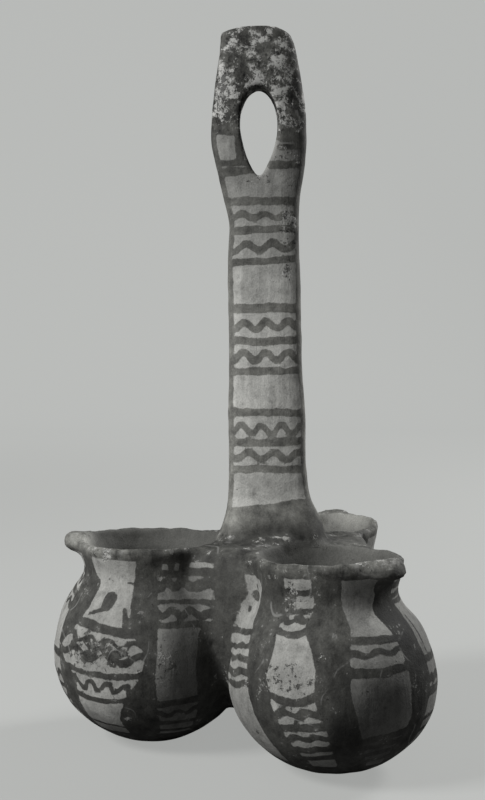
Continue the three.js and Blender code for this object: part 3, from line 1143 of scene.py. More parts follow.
STRAP_LINES = (
    Line(227.3, 227.6, 1.75),
    Line(221.6, 221.2, 1.4, wave=1.0, waves=3.2, phase=0.6),
    Line(215.0, 216.4, 1.6),
    Line(208.0, 209.2, 1.6, wave=1.3, waves=2.8, phase=0.55),
    Line(201.6, 203.6, 1.5),
    Line(182.0, 182.7, 1.9, sag=0.4),
    Line(175.4, 176.2, 1.5, wave=1.4, waves=3.4, phase=0.5),
    Line(169.4, 169.9, 1.7, sag=-0.7),
    Line(162.6, 162.9, 1.55, wave=1.6, waves=3.4, phase=0.55),
    Line(156.0, 156.8, 1.6),
    Line(139.2, 138.6, 1.7),
    Line(132.1, 131.6, 1.35, wave=1.7, waves=3.9, phase=0.6),
    Line(126.4, 127.1, 1.75, sag=-0.5),
    Line(120.9, 120.4, 1.5, wave=1.4, waves=3.1, phase=0.45),
    Line(114.6, 114.9, 1.65, sag=0.5),
)

LOOP_DAUBS = (
    Daub((-25, 261.8), (-11, 261.0), 1.6, 1.4),
    Daub((-12.6, 254), (-11.6, 245), 1.6, 1.6),
    Daub((-23, 243.6), (-9, 243.2), 1.4, 1.2),
    Daub((-22, 239.2), (-7, 240.2), 1.7, 1.5),
    Daub((5, 249.6), (17, 250.6), 1.1, 1.2),
    Daub((1, 242.4), (17, 243.2), 1.7, 1.7),
)

STRAP_SLIP_TONE = (
    (88, 1.3), (105, 1.42), (125, 1.6), (151, 1.66), (193, 1.38), (215, 1.02), (224, 0.88), (236, 0.74),
    (300, 0.74),
)
# Brightness of the paint by height, on the strap and on the clay round its foot. Above the foot it is the
# strap's thin paint; the lower values from 76 to 90 mm are painted shade on the foot's flare, which turns up
# towards the light.
STRAP_PAINT_TONE = (
    (76, 0.85), (85, 0.75), (90, 1.15), (96, 2.35), (104, 2.6), (112, 3.0), (150, 3.0), (185, 2.7),
    (205, 2.0), (228, 1.7), (245, 1.2), (300, 1.0),
)

LEFT_JAR_PATCHES = (
    spread(Layer.WEAR, (
        (236, 45, 24, 9, 0.95), (326, 74, 10, 12, 0.7), (256, 44, 9, 8, 0.85), (222, 62, 9, 6, 0.6),
        (205, 66, 10, 9, 0.6), (212, 46, 12, 8, 0.75), (262, 60, 6, 4, 0.6), (270, 43, 4, 4, 0.6),
        (318, 42, 9, 9, 0.6), (282, 42, 8, 15, 0.85),
    )) + spread(Layer.SCRAPS, (
        (236, 46, 24, 10, 1.15), (256, 45, 8, 8, 1.1), (260, 58, 6, 6, 0.9), (222, 60, 8, 6, 0.7),
        (212, 46, 12, 9, 0.8), (226, 22, 6, 5, 0.7), (281, 43, 8, 14, 0.84), (298, 67, 12, 11, 0.6),
    )) + spread(Layer.CRUST, (
        (267, 38.5, 2.0, 1.8, 1.2), (258, 17.5, 2.2, 1.8, 1.2), (318, 42, 8, 9, 0.7),
        (282, 44, 7, 13, 0.72), (240, 46, 18, 9, 0.6), (326, 76, 9, 9, 0.7), (232, 83, 13, 4.5, 0.95),
        (178, 84, 12, 5, 0.5), (255, 45, 5, 6, 0.5),
    # The PAINT, SLIP and BOTH rows are painted light and shade with a little stain: they darken the jar's
    # front and right and its low right side, lighten its low front left and the rim's paint on the left,
    # darken the rim's paint at the back, and the BOTH row lifts the cast shadow under the rim beside the
    # front web
    )) + spread(Layer.PAINT, (
        (312, 62, 10, 18, -0.15), (226, 84, 22, 6, 0.75), (178, 85, 14, 7, 0.85),
        (262, 38, 9, 16, -0.25), (80, 86, 26, 4, -0.7), (130, 86, 20, 4, -0.4), (304, 36, 12, 18, -0.35),
    )) + spread(Layer.SLIP, (
        (240, 25, 20, 9, 0.28), (284, 44, 8, 16, -0.3), (296, 42, 9, 18, -1.3), (282, 30, 8, 8, -0.35),
        (298, 67, 12, 12, -0.85), (290, 18, 16, 9, -0.75),
    )) + spread(Layer.BOTH, (
        (285, 77, 7, 5, 0.65),
    ))
)

FRONT_JAR_PATCHES = (
    spread(Layer.WEAR, (
        (241, 44, 15, 8, 1.0), (222, 60, 9, 16, 0.55), (234, 70, 7, 7, 0.7), (212, 80, 10, 8, 0.7),
        (262, 45, 8, 20, 0.5), (170, 70, 10, 14, 0.5), (313, 87, 14, 7, 0.8), (247, 70, 5, 7, 0.8),
    )) + spread(Layer.CRUST, (
        (246, 84, 16, 4, 0.45), (313, 86, 14, 6, 0.75), (270, 83, 30, 4, 0.62), (172, 82, 9, 6, 0.7),
        (232, 76, 5, 5, 0.95), (262, 50, 9, 22, 0.5), (212, 50, 9, 20, 0.5),
    # The PAINT, BOTH and SLIP rows are largely painted light and shade with some stain: they darken the jar's
    # front right, right side and low front, and lighten the paint along the rim and on the neck
    )) + spread(Layer.PAINT, (
        (250, 84, 26, 4, 0.3), (290, 85, 16, 4, 0.3), (313, 87, 14, 7, 0.3), (168, 75, 11, 9, 0.35),
        (135, 86, 14, 5, -0.35), (268, 64, 9, 12, 0.5), (320, 48, 13, 30, -0.7), (316, 62, 10, 13, -0.7),
        (222, 36, 11, 14, -0.45), (272, 48, 8, 10, -0.35),
    )) + spread(Layer.SCRAPS, (
        (241, 45, 17, 9, 0.68), (214, 24, 8, 12, 0.7), (236, 72, 7, 5, 0.8), (288, 37, 10, 11, 0.8),
    )) + spread(Layer.BOTH, (
        (274, 26, 7.5, 12, -0.95),
    )) + spread(Layer.SLIP, (
        (292, 37, 14, 12, -0.8), (296, 17, 14, 8, -0.9), (302, 68, 7, 8, 0.4), (205, 30, 16, 16, -0.22),
        (335, 50, 18, 26, -0.2), (345, 50, 16, 30, -0.35),
    ))
)

BACK_JAR_PATCHES = (
    spread(Layer.WEAR, (
        (290, 82, 22, 8, 0.7),
    )) + spread(Layer.CRUST, (
        (300, 84, 26, 7, 0.62), (60, 80, 24, 8, 0.6),
    # Painted light with some worn paint: these rows lighten the paint on the back jar's rim, which lies in
    # the handle's shadow
    )) + spread(Layer.PAINT, (
        (290, 82, 28, 9, 0.5), (20, 84, 24, 6, 0.6), (60, 80, 26, 10, 0.45),
    )) + spread(Layer.SCRAPS, (
        (290, 82, 28, 9, 0.5),
    ))
)

STRAP_PATCHES = (
    spread(Layer.CRUST, (
        (9, 216, 5, 14, 1.0), (8.5, 199, 3, 6, 1.3), (-16, 112, 8, 6, 0.6), (14, 262, 9, 20, 0.55),
        (-20, 274, 8, 13, 1.35), (-10, 291, 9, 5, 1.15), (9, 246, 8, 7, 0.85), (-3, 236, 7, 3.5, 0.95),
    )) + spread(Layer.PAINT, (
        (-6, 282, 16, 16, 0.45), (-17, 96, 9, 10, 0.25), (18, 90, 13, 12, -0.35), (-20, 88, 12, 7, 0.45),
    )) + spread(Layer.SCRAPS, (
        (-4, 230, 14, 8, 0.4), (12, 236, 6, 9, 0.9),
    )) + spread(Layer.WEAR, (
        (-20, 249, 4.5, 6, 0.5), (11, 216, 6, 14, 0.7),
    )) + spread(Layer.SLIP, (
        (-20, 249, 4, 6, 0.35), (14, 252, 7, 10, -0.7),
    ))
)


@dataclass(frozen=True)
class Brush:
    """How the brush wandered, and how deep its paint and lines are followed, in millimetres."""

    across: tuple[Swell, ...] = (Swell(0.55, 9, 3.1), Swell(0.25, 4, 5.7))
    up: tuple[Swell, ...] = (Swell(0.5, 10, 7.9), Swell(0.25, 4, 1.3))
    pressure: Swell = Swell(0.45, 6, 2.2)
    deepest: float = 6.0
    overlap: float = 2.0


@dataclass(frozen=True)
class StrapDesign:
    """Where the strap's borders, dark foot and dark head end, and how its back differs, in millimetres."""

    border: float = 2.3
    border_wobble: float = 0.5
    foot: float = 98.8
    foot_tilt: float = 3.8
    head: float = 255.5
    head_tilt: float = 4.0
    head_wobble: float = 2.0
    back_turn: float = 1.04
    back_rise: float = 2.5


@dataclass(frozen=True)
class Ageing:
    """How worn and crusted the pot is all over, and how much more so on its rims and the handle's head."""

    wear: float = 0.34
    rim_wear: float = 0.25
    strap_share: float = 0.6
    crust: float = 0.15
    rim_crust: float = 0.4
    head_crust: float = 0.92
    head: tuple[float, float] = (246.0, 262.0)
    rim_band: tuple[float, float] = (4.0, 1.5)
    rim_depth: float = 6.0
    rim_paint: float = 0.15
    strap_reach: float = 30.0


class Brushwork:
    """Works out how far inside dark paint every point of the skin lies, and how worn and stained it is, with
    its painted light and shade.
    """

    brush = Brush()
    design = StrapDesign()
    ageing = Ageing()
    strap_foot = 88.0
    strap_half = (32.0, 22.0)
    inner_face = -2.3
    ground_gap = 4.0
    least_radius = 5.0
    least_slope = 0.1

    def __init__(self, vessel: Vessel, places: Array, normals: Array) -> None:
        """Reads the skin.

        Args:
            vessel: The pot's sizes.
            places: The skin's points in millimetres about the handle's axis.
            normals: The direction each point faces.
        """
        self.vessel = vessel
        self.places = places
        self.height = places[:, 2]
        self.stretch = 1 / np.sqrt(np.maximum(1 - normals[:, 2] ** 2, self.least_slope))
        self.wobble_across = sum(swell.at(places) for swell in self.brush.across)
        self.wobble_up = sum(swell.at(places) for swell in self.brush.up)
        self.pressure = self.brush.pressure.at(places)
        radii = []
        beyond = []
        for jar in vessel.jars:
            off_x = places[:, 0] - jar.plan.x - jar.neck_offset(self.height)
            radii.append(np.hypot(off_x, places[:, 1] - jar.plan.y))
            beyond.append(radii[-1] - jar.outer_radius(self.height))
        self.nearest = np.stack(beyond).argmin(0)
        self.beyond = np.stack(beyond).min(0)
        self.radius = np.choose(self.nearest, radii)
        rim_top = max(jar.plan.rim_height for jar in vessel.jars) + 1
        in_height = (self.height > self.ground_gap) & (self.height < rim_top)
        self.inside = (self.beyond < self.inner_face) & in_height
        half_x, half_y = self.strap_half
        on_axis = (np.abs(places[:, 0]) < half_x) & (np.abs(places[:, 1]) < half_y)
        self.on_strap = (self.height > self.strap_foot) & on_axis

    def panel(self, chosen: Array, panel: Panel, across: Array, unit: Array) -> tuple[Array, Array]:
        """Reads one panel.

        Args:
            chosen: Which points of the skin to read.
            panel: The panel.
            across: The place across of each chosen point, in the panel's unit.
            unit: How many millimetres one unit across is at each chosen point.

        Returns:
            Millimetres inside dark paint, above 0 outside the panel and inside its lines and daubs, and
            millimetres inside the panel itself.
        """
        height = self.height[chosen] + self.wobble_up[chosen]
        stretch = self.stretch[chosen]
        left, right = through(panel.left, height), through(panel.right, height)
        wobble = self.wobble_across[chosen]
        sides = np.minimum((across - left) * unit + wobble, (right - across) * unit + wobble)
        within = np.minimum(sides, np.minimum(panel.top - height, height - panel.bottom) * stretch)
        width = np.maximum((right - left) * unit, 1)
        share = (across - left) / np.maximum(right - left, 1e-3)
        dark = -within
        for line in panel.lines:
            reach = line.reach(share, height, width, stretch) + self.pressure[chosen]
            dark = np.maximum(dark, np.minimum(reach, within + self.brush.overlap))
        for daub in panel.daubs:
            dark = np.maximum(dark, daub.reach(across, height, unit, stretch))
        return dark, within

    def paint_and_slip(self) -> tuple[Array, Array]:
        """Reads all the panels and the strap.

        Returns:
            Millimetres inside dark paint, and the brightness of the slip, partly painted shade, for each
            point.
        """
        deepest = self.brush.deepest
        paint = np.full(len(self.places), deepest)
        slip = np.ones(len(self.places))
        sets = (LEFT_JAR_PANELS, FRONT_JAR_PANELS, BACK_JAR_PANELS)
        for order, (jar, panels) in enumerate(zip(self.vessel.jars, sets)):
            chosen = np.nonzero((self.nearest == order) & ~self.on_strap & ~self.inside)[0]
            spot = self.places[chosen]
            angle = np.degrees(np.arctan2(spot[:, 1] - jar.plan.y, spot[:, 0] - jar.plan.x))
            unit = np.radians(np.maximum(self.radius[chosen], self.least_radius))
            for panel in panels:
                across = turn_from(angle, panel.middle()) + panel.middle()
                dark, within = self.panel(chosen, panel, across, unit)
                paint[chosen] = np.minimum(paint[chosen], dark)
                slip[chosen] = np.where(within > 0, panel.tone, slip[chosen])
        chosen = np.nonzero(self.on_strap)[0]
        paint[chosen] = np.minimum(self.strap(chosen), deepest)
        slip[chosen] = through(STRAP_SLIP_TONE, self.height[chosen])
        return paint, slip

    def strap(self, chosen: Array) -> Array:
        """Reads the strap's borders, lines, daubs, dark foot and dark head.

        Args:
            chosen: Which points of the skin to read.

        Returns:
            Millimetres inside dark paint at each chosen point.
        """
        design, handle = self.design, self.vessel.handle
        x, depth, z = self.places[chosen].T
        wobble, pressure = self.wobble_across[chosen], self.pressure[chosen]
        height = z + self.wobble_up[chosen]
        left, right = handle.left(z), handle.right(z)
        width = right - left
        behind = depth > 0
        share = (x - left) / width
        share = np.where(behind, design.back_turn - share, share)
        level = np.where(behind, height + design.back_rise, height)
        border = design.border + design.border_wobble * wobble - np.minimum(x - left, right - x)
        foot = design.foot + design.foot_tilt * share - height
        head = height - (design.head - design.head_tilt * share + design.head_wobble * wobble)
        dark = np.maximum(np.maximum(border, foot), head)
        flat = np.ones(len(chosen))
        for line in STRAP_LINES:
            dark = np.maximum(dark, line.reach(share, level, width, flat) + pressure)
        for daub in LOOP_DAUBS:
            dark = np.maximum(dark, daub.reach(x, level, flat, flat) + pressure)
        return dark

    def patches(self) -> dict[Layer, Array]:
        """Adds up all the soft patches.

        Returns:
            For each layer, the strongest wear or crust, or the sum of the changes of tone, partly painted
            light and shade, at each point.
        """
        count = len(self.places)
        found = {layer: np.zeros(count) for layer in Layer}
        sets = (LEFT_JAR_PATCHES, FRONT_JAR_PATCHES, BACK_JAR_PATCHES)
        front = -self.vessel.handle.thickness / 2
        spots = [(patch, (patch.across, front)) for patch in STRAP_PATCHES]
        for jar, chosen in zip(self.vessel.jars, sets):
            spots += [(patch, self.on_jar(jar, patch)) for patch in chosen]
        for patch, middle in spots:
            reach = patch.reach(self.places, middle)
            if patch.layer in (Layer.WEAR, Layer.SCRAPS, Layer.CRUST):
                found[patch.layer] = np.maximum(found[patch.layer], reach)
            else:
                found[patch.layer] = found[patch.layer] + reach
        return found

    @staticmethod
    def on_jar(jar: Jar, patch: Patch) -> tuple[float, float]:
        """Finds where the middle of a patch stands on a jar.

        Args:
            jar: The jar.
            patch: The patch.

        Returns:
            Its place in the plan, in millimetres.
        """
        turn = math.radians(patch.across)
        radius = float(jar.outer_radius(patch.height))
        return jar.plan.x + radius * math.cos(turn), jar.plan.y + radius * math.sin(turn)

    def write(self, piece: bpy.types.Object) -> None:
        """Writes what was worked out onto the skin as attributes that the finish reads.

        Args:
            piece: The skin.
        """
        paint, slip = self.paint_and_slip()
        patches, ageing = self.patches(), self.ageing
        on_rim = self.on_rims()
        head = ageing.head_crust * smoothstep(self.height, *ageing.head)
        wear = np.maximum(patches[Layer.WEAR], ageing.wear + ageing.rim_wear * on_rim)
        wear = np.where(self.on_strap, ageing.strap_share * wear, wear)
        crust = np.maximum(head, ageing.crust + ageing.rim_crust * on_rim)
        crust = np.maximum(patches[Layer.CRUST], crust)
        near_strap = np.exp(-(np.hypot(self.places[:, 0], self.places[:, 1]) / ageing.strap_reach) ** 4)
        ink = 1 + (through(STRAP_PAINT_TONE, self.height) - 1) * np.where(self.on_strap, 1, near_strap)
        ink = ink * (1 + ageing.rim_paint * on_rim) * np.exp(patches[Layer.PAINT] + patches[Layer.BOTH])
        fields = {
            "paint": paint,
            # The slip's and paint's brightness: panel tones, the strap's thin paint and stain, with painted
            # light and shade from the tone patches
            "slip_tone_light_shade": slip * np.exp(patches[Layer.SLIP] + patches[Layer.BOTH]),
            "paint_tone_light_shade": ink,
            "wear": wear,
            "crust": crust,
            "scraps": patches[Layer.SCRAPS],
            "inside": self.inside.astype(float),
        }
        for name, values in fields.items():
            layer = piece.data.attributes.new(name, "FLOAT", "POINT")
            layer.data.foreach_set("value", values.astype(np.float32))

    def on_rims(self) -> Array:
        """Says how far each point lies on one of the rims.

        Returns:
            A share from 0 to 1 for each point.
        """
        found = np.zeros(len(self.places))
        low, high = self.ageing.rim_band
        near = ~self.on_strap & (np.abs(self.beyond) < self.ageing.rim_depth)
        for order, jar in enumerate(self.vessel.jars):
            rim = smoothstep(self.height, jar.plan.rim_height - low, jar.plan.rim_height - high)
            found = np.where((self.nearest == order) & near, rim, found)
        return found


class Wire:
    """A number in a shader. Python's operators on it add Math nodes."""

    def __init__(self, graph: "Graph", socket: bpy.types.NodeSocket) -> None:
        """Wraps one output socket of a graph."""
        self.graph = graph
        self.socket = socket

    def maths(self, operation: str, first: "Value", second: "Value" = 0.0, third: "Value" = 0.0) -> "Wire":
        """Adds one Math node.

        Args:
            operation: The node's operation.
            first: Its first value.
            second: Its second value.
            third: Its third value.

        Returns:
            The node's result.
        """
        settings = {"operation": operation}
        return Wire(self.graph, self.graph.node("ShaderNodeMath", settings, {0: first, 1: second, 2: third}))

    def __add__(self, other: "Value") -> "Wire":
        """Adds."""
        return self.maths("ADD", self, other)

    def __radd__(self, other: "Value") -> "Wire":
        """Adds, the wire second."""
        return self.maths("ADD", other, self)

    def __sub__(self, other: "Value") -> "Wire":
        """Subtracts."""
        return self.maths("SUBTRACT", self, other)

    def __rsub__(self, other: "Value") -> "Wire":
        """Subtracts the wire from a number."""
        return self.maths("SUBTRACT", other, self)

    def __mul__(self, other: "Value") -> "Wire":
        """Multiplies."""
        return self.maths("MULTIPLY", self, other)

    def __rmul__(self, other: "Value") -> "Wire":
        """Multiplies, the wire second."""
        return self.maths("MULTIPLY", other, self)

    def __or__(self, other: "Value") -> "Wire":
        """Takes the larger."""
        return self.maths("MAXIMUM", self, other)

    def __and__(self, other: "Value") -> "Wire":
        """Takes the smaller."""
        return self.maths("MINIMUM", self, other)

    def size(self) -> "Wire":
        """Takes the number without its sign."""
        return self.maths("ABSOLUTE", self)

    def step(self, low: float, high: float) -> "Wire":
        """Rises smoothly.

        Args:
            low: Where it leaves 0.
            high: Where it reaches 1.

        Returns:
            The number between 0 and 1.
        """
        settings = {"interpolation_type": "SMOOTHSTEP"}
        values = {"Value": self, "From Min": low, "From Max": high}
        return Wire(self.graph, self.graph.node("ShaderNodeMapRange", settings, values))


Value = Wire | float
Colour = tuple[float, float, float, float]


class Graph:
    """The nodes of one material."""

    def __init__(self, name: str) -> None:
        """Starts an empty material.

        Args:
            name: The material's name.
        """
        self.material = bpy.data.materials.new(name)
        self.material.use_nodes = True
        self.tree = self.material.node_tree
        self.tree.nodes.clear()

    def node(self, kind: str, settings: dict[str, object], values: dict[int | str, object],
             output: int | str = 0) -> bpy.types.NodeSocket:
        """Adds any one node.

        Args:
            kind: The node's type.
            settings: Its settings, set first.
            values: The value or the link of each input socket.
            output: Which output to give.

        Returns:
            That output's socket.
        """
        node = self.tree.nodes.new(kind)
        for setting, value in settings.items():
            setattr(node, setting, value)
        for place, value in values.items():
            source = value.socket if isinstance(value, Wire) else value
            if isinstance(source, bpy.types.NodeSocket):
                self.tree.links.new(source, node.inputs[place])
            else:
                node.inputs[place].default_value = source
        return node.outputs[output]

    def show(self, shader: bpy.types.NodeSocket) -> None:
        """Gives a shader to the material's surface."""
        output = self.tree.nodes.new("ShaderNodeOutputMaterial")
        self.tree.links.new(shader, output.inputs["Surface"])

    def skin(self, name: str) -> Wire:
        """Reads one of the skin's own attributes."""
        return Wire(self, self.node("ShaderNodeAttribute", {"attribute_name": name}, {}, "Fac"))

    def noise(self, scale: float, detail: float = 3.0, roughness: float = 0.55,
              squash: tuple[float, float, float] = (1, 1, 1)) -> Wire:
        """Reads noise centred on 0.

        Args:
            scale: Swells of the noise in a metre.
            detail: How many finer layers it has.
            roughness: How strong they are.
            squash: How much each axis is squeezed first.

        Returns:
            A number that mostly lies between -0.25 and 0.25.
        """
        where = self.node("ShaderNodeTexCoord", {}, {}, "Object")
        where = self.node("ShaderNodeMapping", {}, {"Vector": where, "Scale": squash})
        values = {"Vector": where, "Scale": scale, "Detail": detail, "Roughness": roughness}
        return Wire(self, self.node("ShaderNodeTexNoise", {}, values, "Fac")) - 0.5

    def blend(self, share: Value, first: object, second: object) -> bpy.types.NodeSocket:
        """Mixes two colours."""
        settings = {"data_type": "RGBA", "clamp_factor": True}
        return self.node("ShaderNodeMix", settings, {0: share, 6: first, 7: second}, 2)

    def scaled(self, colour: object, brightness: Wire) -> bpy.types.NodeSocket:
        """Brightens or darkens a colour."""
        return self.node("ShaderNodeVectorMath", {"operation": "SCALE"}, {0: colour, "Scale": brightness})


class Skin:
    """What the brushwork wrote onto the skin, read back in a graph."""

    def __init__(self, graph: Graph) -> None:
        """Adds the attributes.

        Args:
            graph: The finish's graph.
        """
        self.paint = graph.skin("paint")
        self.slip_tone_light_shade = graph.skin("slip_tone_light_shade")
        self.paint_tone_light_shade = graph.skin("paint_tone_light_shade")
        self.wear = graph.skin("wear")
        self.lime = graph.skin("crust")
        self.scraps = graph.skin("scraps")
        self.inside = graph.skin("inside")


class Grain:
    """The noises that the pot's marks are made from, from wide clouds down to single grains."""

    def __init__(self, graph: Graph) -> None:
        """Adds the noises.

        Args:
            graph: The finish's graph.
        """
        self.blotch = graph.noise(70, 4, 0.55)
        self.flaking = graph.noise(170, 5, 0.62)
        self.crusted = graph.noise(180, 7, 0.68)
        self.mottle = graph.noise(190, 5, 0.62)
        self.brushed = graph.noise(300, 4, 0.6, (1, 1, 0.06))
        self.ragged = graph.noise(420, 4, 0.6)
        self.pitted = graph.noise(430, 5, 0.7)
        self.speck = graph.noise(800, 2, 0.5)
        self.grit = graph.noise(1500, 3, 0.6)
        self.hair = graph.noise(45, 1, 0.4).size().step(0.012, 0.004)


@dataclass(frozen=True)
class PaintedSlip:
    """Matt pale slip with dark brushed paint, both worn, over grey clay."""

    slip: Colour = (0.385, 0.385, 0.365, 1)
    paint: Colour = (0.052, 0.052, 0.048, 1)
    thin_paint: Colour = (0.085, 0.085, 0.078, 1)
    clay: Colour = (0.12, 0.12, 0.112, 1)
    # Painted shade for the pits
    pit_shade: Colour = (0.03, 0.03, 0.028, 1)
    fleck: Colour = (0.26, 0.26, 0.25, 1)
    crust: Colour = (0.52, 0.52, 0.50, 1)
    rubbed: float = 0.45
    gloss: float = 0.25
    bump: float = 0.6
    bump_depth: float = 0.0006

    def material(self) -> bpy.types.Material:
        """Builds the finish.

        Returns:
            The material.
        """
        graph = Graph("painted_slip")
        grain, skin = Grain(graph), Skin(graph)
        ragged, grit, brushed, mottle = grain.ragged, grain.grit, grain.brushed, grain.mottle
        cover = (skin.paint + ragged * 1.5 + grit * 0.6 + brushed * 0.5).step(-0.25, 0.25)
        flaked = (mottle + ragged * 0.5 + skin.wear * 0.34 - 0.33).step(0.0, 0.05)
        scraps = (grain.flaking + skin.scraps * 0.36 - 0.36).step(0.0, 0.05)
        cover = cover * (1 - flaked * 0.9) | scraps * 0.9
        crust = (grain.crusted * 1.5 + mottle * 0.7 + grit * 0.5 + skin.lime * 0.46 - 0.42).step(0.0, 0.16)
        pits = (grain.pitted + (skin.wear | skin.lime) * 0.2 - 0.24).step(0.0, 0.05)
        colour = graph.blend(cover, self.slip_coat(graph, grain, skin), self.paint_coat(graph, grain, skin))
        colour = graph.blend(crust * 0.85, colour, self.crust)
        # Near black in the pits that the bump sinks: painted shade in the pits
        colour = graph.blend(pits * 0.8, colour, self.pit_shade)
        colour = graph.blend(skin.inside, colour, self.bare_clay(graph, grain, skin))
        height = ragged * 0.5 + grit * 0.35 + brushed * 0.5
        height = height + crust * 0.9 - pits * 1.2 + cover * 0.12 - flaked * 0.2
        relief = graph.node("ShaderNodeBump", {}, {
            "Strength": self.bump, "Distance": self.bump_depth, "Height": height,
        })
        shader = graph.node("ShaderNodeBsdfPrincipled", {}, {
            "Base Color": colour, "Roughness": 0.88 - cover * 0.1 + grit * 0.15, "Normal": relief,
            "Specular IOR Level": self.gloss,
        })
        graph.show(shader)
        return graph.material

    def slip_coat(self, graph: Graph, grain: Grain, skin: Skin) -> bpy.types.NodeSocket:
        """Colours the slip, rubbed thin in clouds and stained where it is worn.

        Args:
            graph: The finish's graph.
            grain: Its noises.
            skin: What the brushwork wrote.

        Returns:
            The colour.
        """
        wash = tuple((1 - self.rubbed) * a + self.rubbed * b for a, b in zip(self.slip, self.clay))
        clouds = (grain.blotch * 1.3 + grain.mottle * 0.9 + grain.brushed * 0.9 + 0.55) & 1.0
        coat = graph.blend(clouds, wash, self.slip)
        stained = (grain.mottle + grain.grit * 0.9 + skin.wear * 0.2 - 0.17).step(0.0, 0.16)
        coat = graph.blend(stained * 0.55, coat, self.clay)
        cloudy = 1 + grain.mottle * 0.9 + grain.ragged * 0.5 + grain.grit * 0.9 + grain.brushed * 0.5
        # Scaled by the slip's tone, which carries painted light and shade as well as stain
        return graph.scaled(coat, skin.slip_tone_light_shade * cloudy)

    def paint_coat(self, graph: Graph, grain: Grain, skin: Skin) -> bpy.types.NodeSocket:
        """Colours the paint, thin in clouds, with pale flecks and a few hair scratches.

        Args:
            graph: The finish's graph.
            grain: Its noises.
            skin: What the brushwork wrote.

        Returns:
            The colour.
        """
        clouds = (grain.blotch * 1.5 + grain.mottle * 0.9 + grain.brushed * 0.6 + 0.45) & 1.0
        coat = graph.blend(clouds, self.paint, self.thin_paint)
        cloudy = 1 + grain.mottle * (1.3 + skin.lime * 3.0) + grain.grit * 1.1 + grain.brushed * 0.8
        # Scaled by the paint's tone, which carries painted light and shade as well as the strap's thin paint
        coat = graph.scaled(coat, skin.paint_tone_light_shade * cloudy)
        flecks = (grain.speck * 0.8 + grain.mottle * 1.1 + skin.wear * 0.16 - 0.26).step(0.0, 0.06)
        scratches = grain.hair * (grain.blotch + skin.wear * 0.3 - 0.14).step(0.0, 0.1)
        return graph.blend((flecks | scratches) * 0.55, coat, self.fleck)

    def bare_clay(self, graph: Graph, grain: Grain, skin: Skin) -> bpy.types.NodeSocket:
        """Colours the unpainted clay inside the jars.

        Args:
            graph: The finish's graph.
            grain: Its noises.
            skin: What the brushwork wrote.

        Returns:
            The colour.
        """
        clouds = (grain.blotch * 1.2 + grain.mottle + 0.4) & 1.0
        bare = graph.blend(clouds, self.clay, self.thin_paint)
        return graph.scaled(bare, (skin.paint_tone_light_shade | 0.9) * (1 + grain.grit + grain.mottle))


@dataclass(frozen=True)
class Lamp:
    """One soft square light: its place and side in metres, and its power in watts."""

    name: str
    place: tuple[float, float, float]
    side: float
    power: float


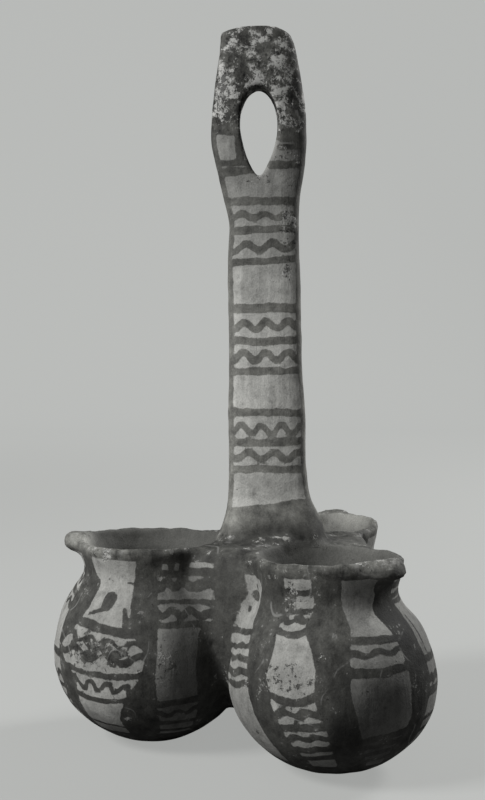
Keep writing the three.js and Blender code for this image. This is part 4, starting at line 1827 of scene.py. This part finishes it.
@dataclass(frozen=True)
class Studio:
    """The plain floor that sweeps up into a backdrop, the lights and the camera, in metres."""

    camera_place: tuple[float, float, float] = (0.00159, -0.5187, 0.1727)
    camera_pitch: float = 3.18
    camera_lens: float = 54.72
    film_width: float = 36.0
    floor_width: float = 8.0
    floor_depth: float = 3.0
    floor_shift: float = 0.1
    sweep_radius: float = 0.5
    sweep_steps: int = 12
    wall_height: float = 4.0
    paper: Colour = (0.145, 0.147, 0.143, 1)
    bounced: Colour = (0.12, 0.12, 0.12, 1)
    haze: Colour = (0.99, 1.01, 0.985, 1)
    near_haze: float = 0.352
    far_haze: float = 0.1
    haze_depths: tuple[float, float] = (0.45, 1.7)
    room: Colour = (0.5, 0.5, 0.5, 1)
    room_light: float = 0.06
    aim: tuple[float, float, float] = (0, 0, 0.12)
    lamps: tuple[Lamp, ...] = (
        Lamp("key", (-0.976, -0.519, 0.874), 0.42, 19),
        Lamp("side", (0.96, 0.55, 0.87), 0.4, 17),
        Lamp("fill", (0.0, -1.2, 1.0), 0.8, 1.1),
    )

    def build(self) -> None:
        """Sets the floor, the camera, the lamps and the room's own dim light."""
        self.set_floor()
        self.set_camera()
        for lamp in self.lamps:
            self.hang(lamp)
        world = bpy.data.worlds.new("room")
        bpy.context.scene.world = world
        world.use_nodes = True
        background = world.node_tree.nodes["Background"]
        background.inputs["Color"].default_value = self.room
        background.inputs["Strength"].default_value = self.room_light
        bpy.context.scene.view_settings.view_transform = "Standard"

    def set_floor(self) -> None:
        """Lays a floor and sweeps its back edge up into the backdrop."""
        Workshop.clear()
        bpy.ops.mesh.primitive_plane_add(size=1)
        floor = bpy.context.object
        floor.name = "floor"
        bpy.ops.object.mode_set(mode="EDIT")
        bpy.ops.mesh.select_all(action="SELECT")
        bpy.ops.transform.resize(value=(self.floor_width, self.floor_depth, 1))
        bpy.ops.transform.translate(value=(0, self.floor_shift, 0))
        bpy.ops.object.mode_set(mode="OBJECT")
        depth = Workshop.places(floor)[:, 1]
        Workshop.pick(floor, depth > depth.mean())
        turns = np.linspace(0, math.pi / 2, self.sweep_steps + 1)
        bend = self.sweep_radius * np.stack([np.sin(turns), 1 - np.cos(turns)], 1)
        for run, rise in np.diff(bend, axis=0).tolist():
            bpy.ops.mesh.extrude_region_move(TRANSFORM_OT_translate={"value": (0, run, rise)})
        bpy.ops.mesh.extrude_region_move(TRANSFORM_OT_translate={"value": (0, 0, self.wall_height)})
        bpy.ops.object.mode_set(mode="OBJECT")
        floor.data.shade_smooth()
        floor.data.materials.append(self.backdrop())

    def backdrop(self) -> bpy.types.Material:
        """Builds the floor's paper, which glows a little more the further back it lies.

        Returns:
            The material.
        """
        graph = Graph("studio_paper")
        place = graph.node("ShaderNodeTexCoord", {}, {}, "Object")
        depth = Wire(graph, graph.node("ShaderNodeSeparateXYZ", {}, {0: place}, 1))
        glow = self.near_haze + self.far_haze * depth.step(*self.haze_depths)
        seen = graph.node("ShaderNodeEmission", {}, {"Color": self.haze, "Strength": glow})
        lit = graph.node("ShaderNodeBsdfDiffuse", {}, {"Color": self.paper})
        both = graph.node("ShaderNodeAddShader", {}, {0: seen, 1: lit})
        dull = graph.node("ShaderNodeBsdfDiffuse", {}, {"Color": self.bounced})
        camera = graph.node("ShaderNodeLightPath", {}, {}, "Is Camera Ray")
        graph.show(graph.node("ShaderNodeMixShader", {}, {0: camera, 1: dull, 2: both}))
        return graph.material

    def set_camera(self) -> None:
        """Sets the camera at the photograph's viewing angle."""
        turn = (math.radians(90 - self.camera_pitch), 0, 0)
        bpy.ops.object.camera_add(location=self.camera_place, rotation=turn)
        camera = bpy.context.object
        camera.data.lens = self.camera_lens
        camera.data.sensor_width = self.film_width
        bpy.context.scene.camera = camera

    def hang(self, lamp: Lamp) -> None:
        """Hangs a soft square light that looks at the pot.

        Args:
            lamp: The light's place, side and power.
        """
        turn = (Vector(self.aim) - Vector(lamp.place)).to_track_quat("-Z", "Y").to_euler()
        bpy.ops.object.light_add(type="AREA", location=lamp.place, rotation=turn)
        light = bpy.context.object
        light.name = lamp.name
        light.data.size = lamp.side
        light.data.energy = lamp.power


def main() -> None:
    """Builds the studio, the pot and its finish, in that order, and reports the piece."""
    logging.basicConfig(level=logging.INFO, format="%(name)s: %(message)s")
    Studio().build()
    vessel = Vessel()
    piece = vessel.body()
    piece.name = "fired_pot"
    vessel.handle_marks(piece)
    Brushwork(vessel, Workshop.places(piece), Workshop.normals(piece)).write(piece)
    piece.data.materials.clear()
    piece.data.materials.append(PaintedSlip().material())
    vessel.set_down(piece)
    piece.data.shade_smooth()
    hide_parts("coupled_vessel")
    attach(piece, "root")
    log.info("%s: %d points, %d faces", piece.name, len(piece.data.vertices), len(piece.data.polygons))


if __name__ == "__main__":
    main()
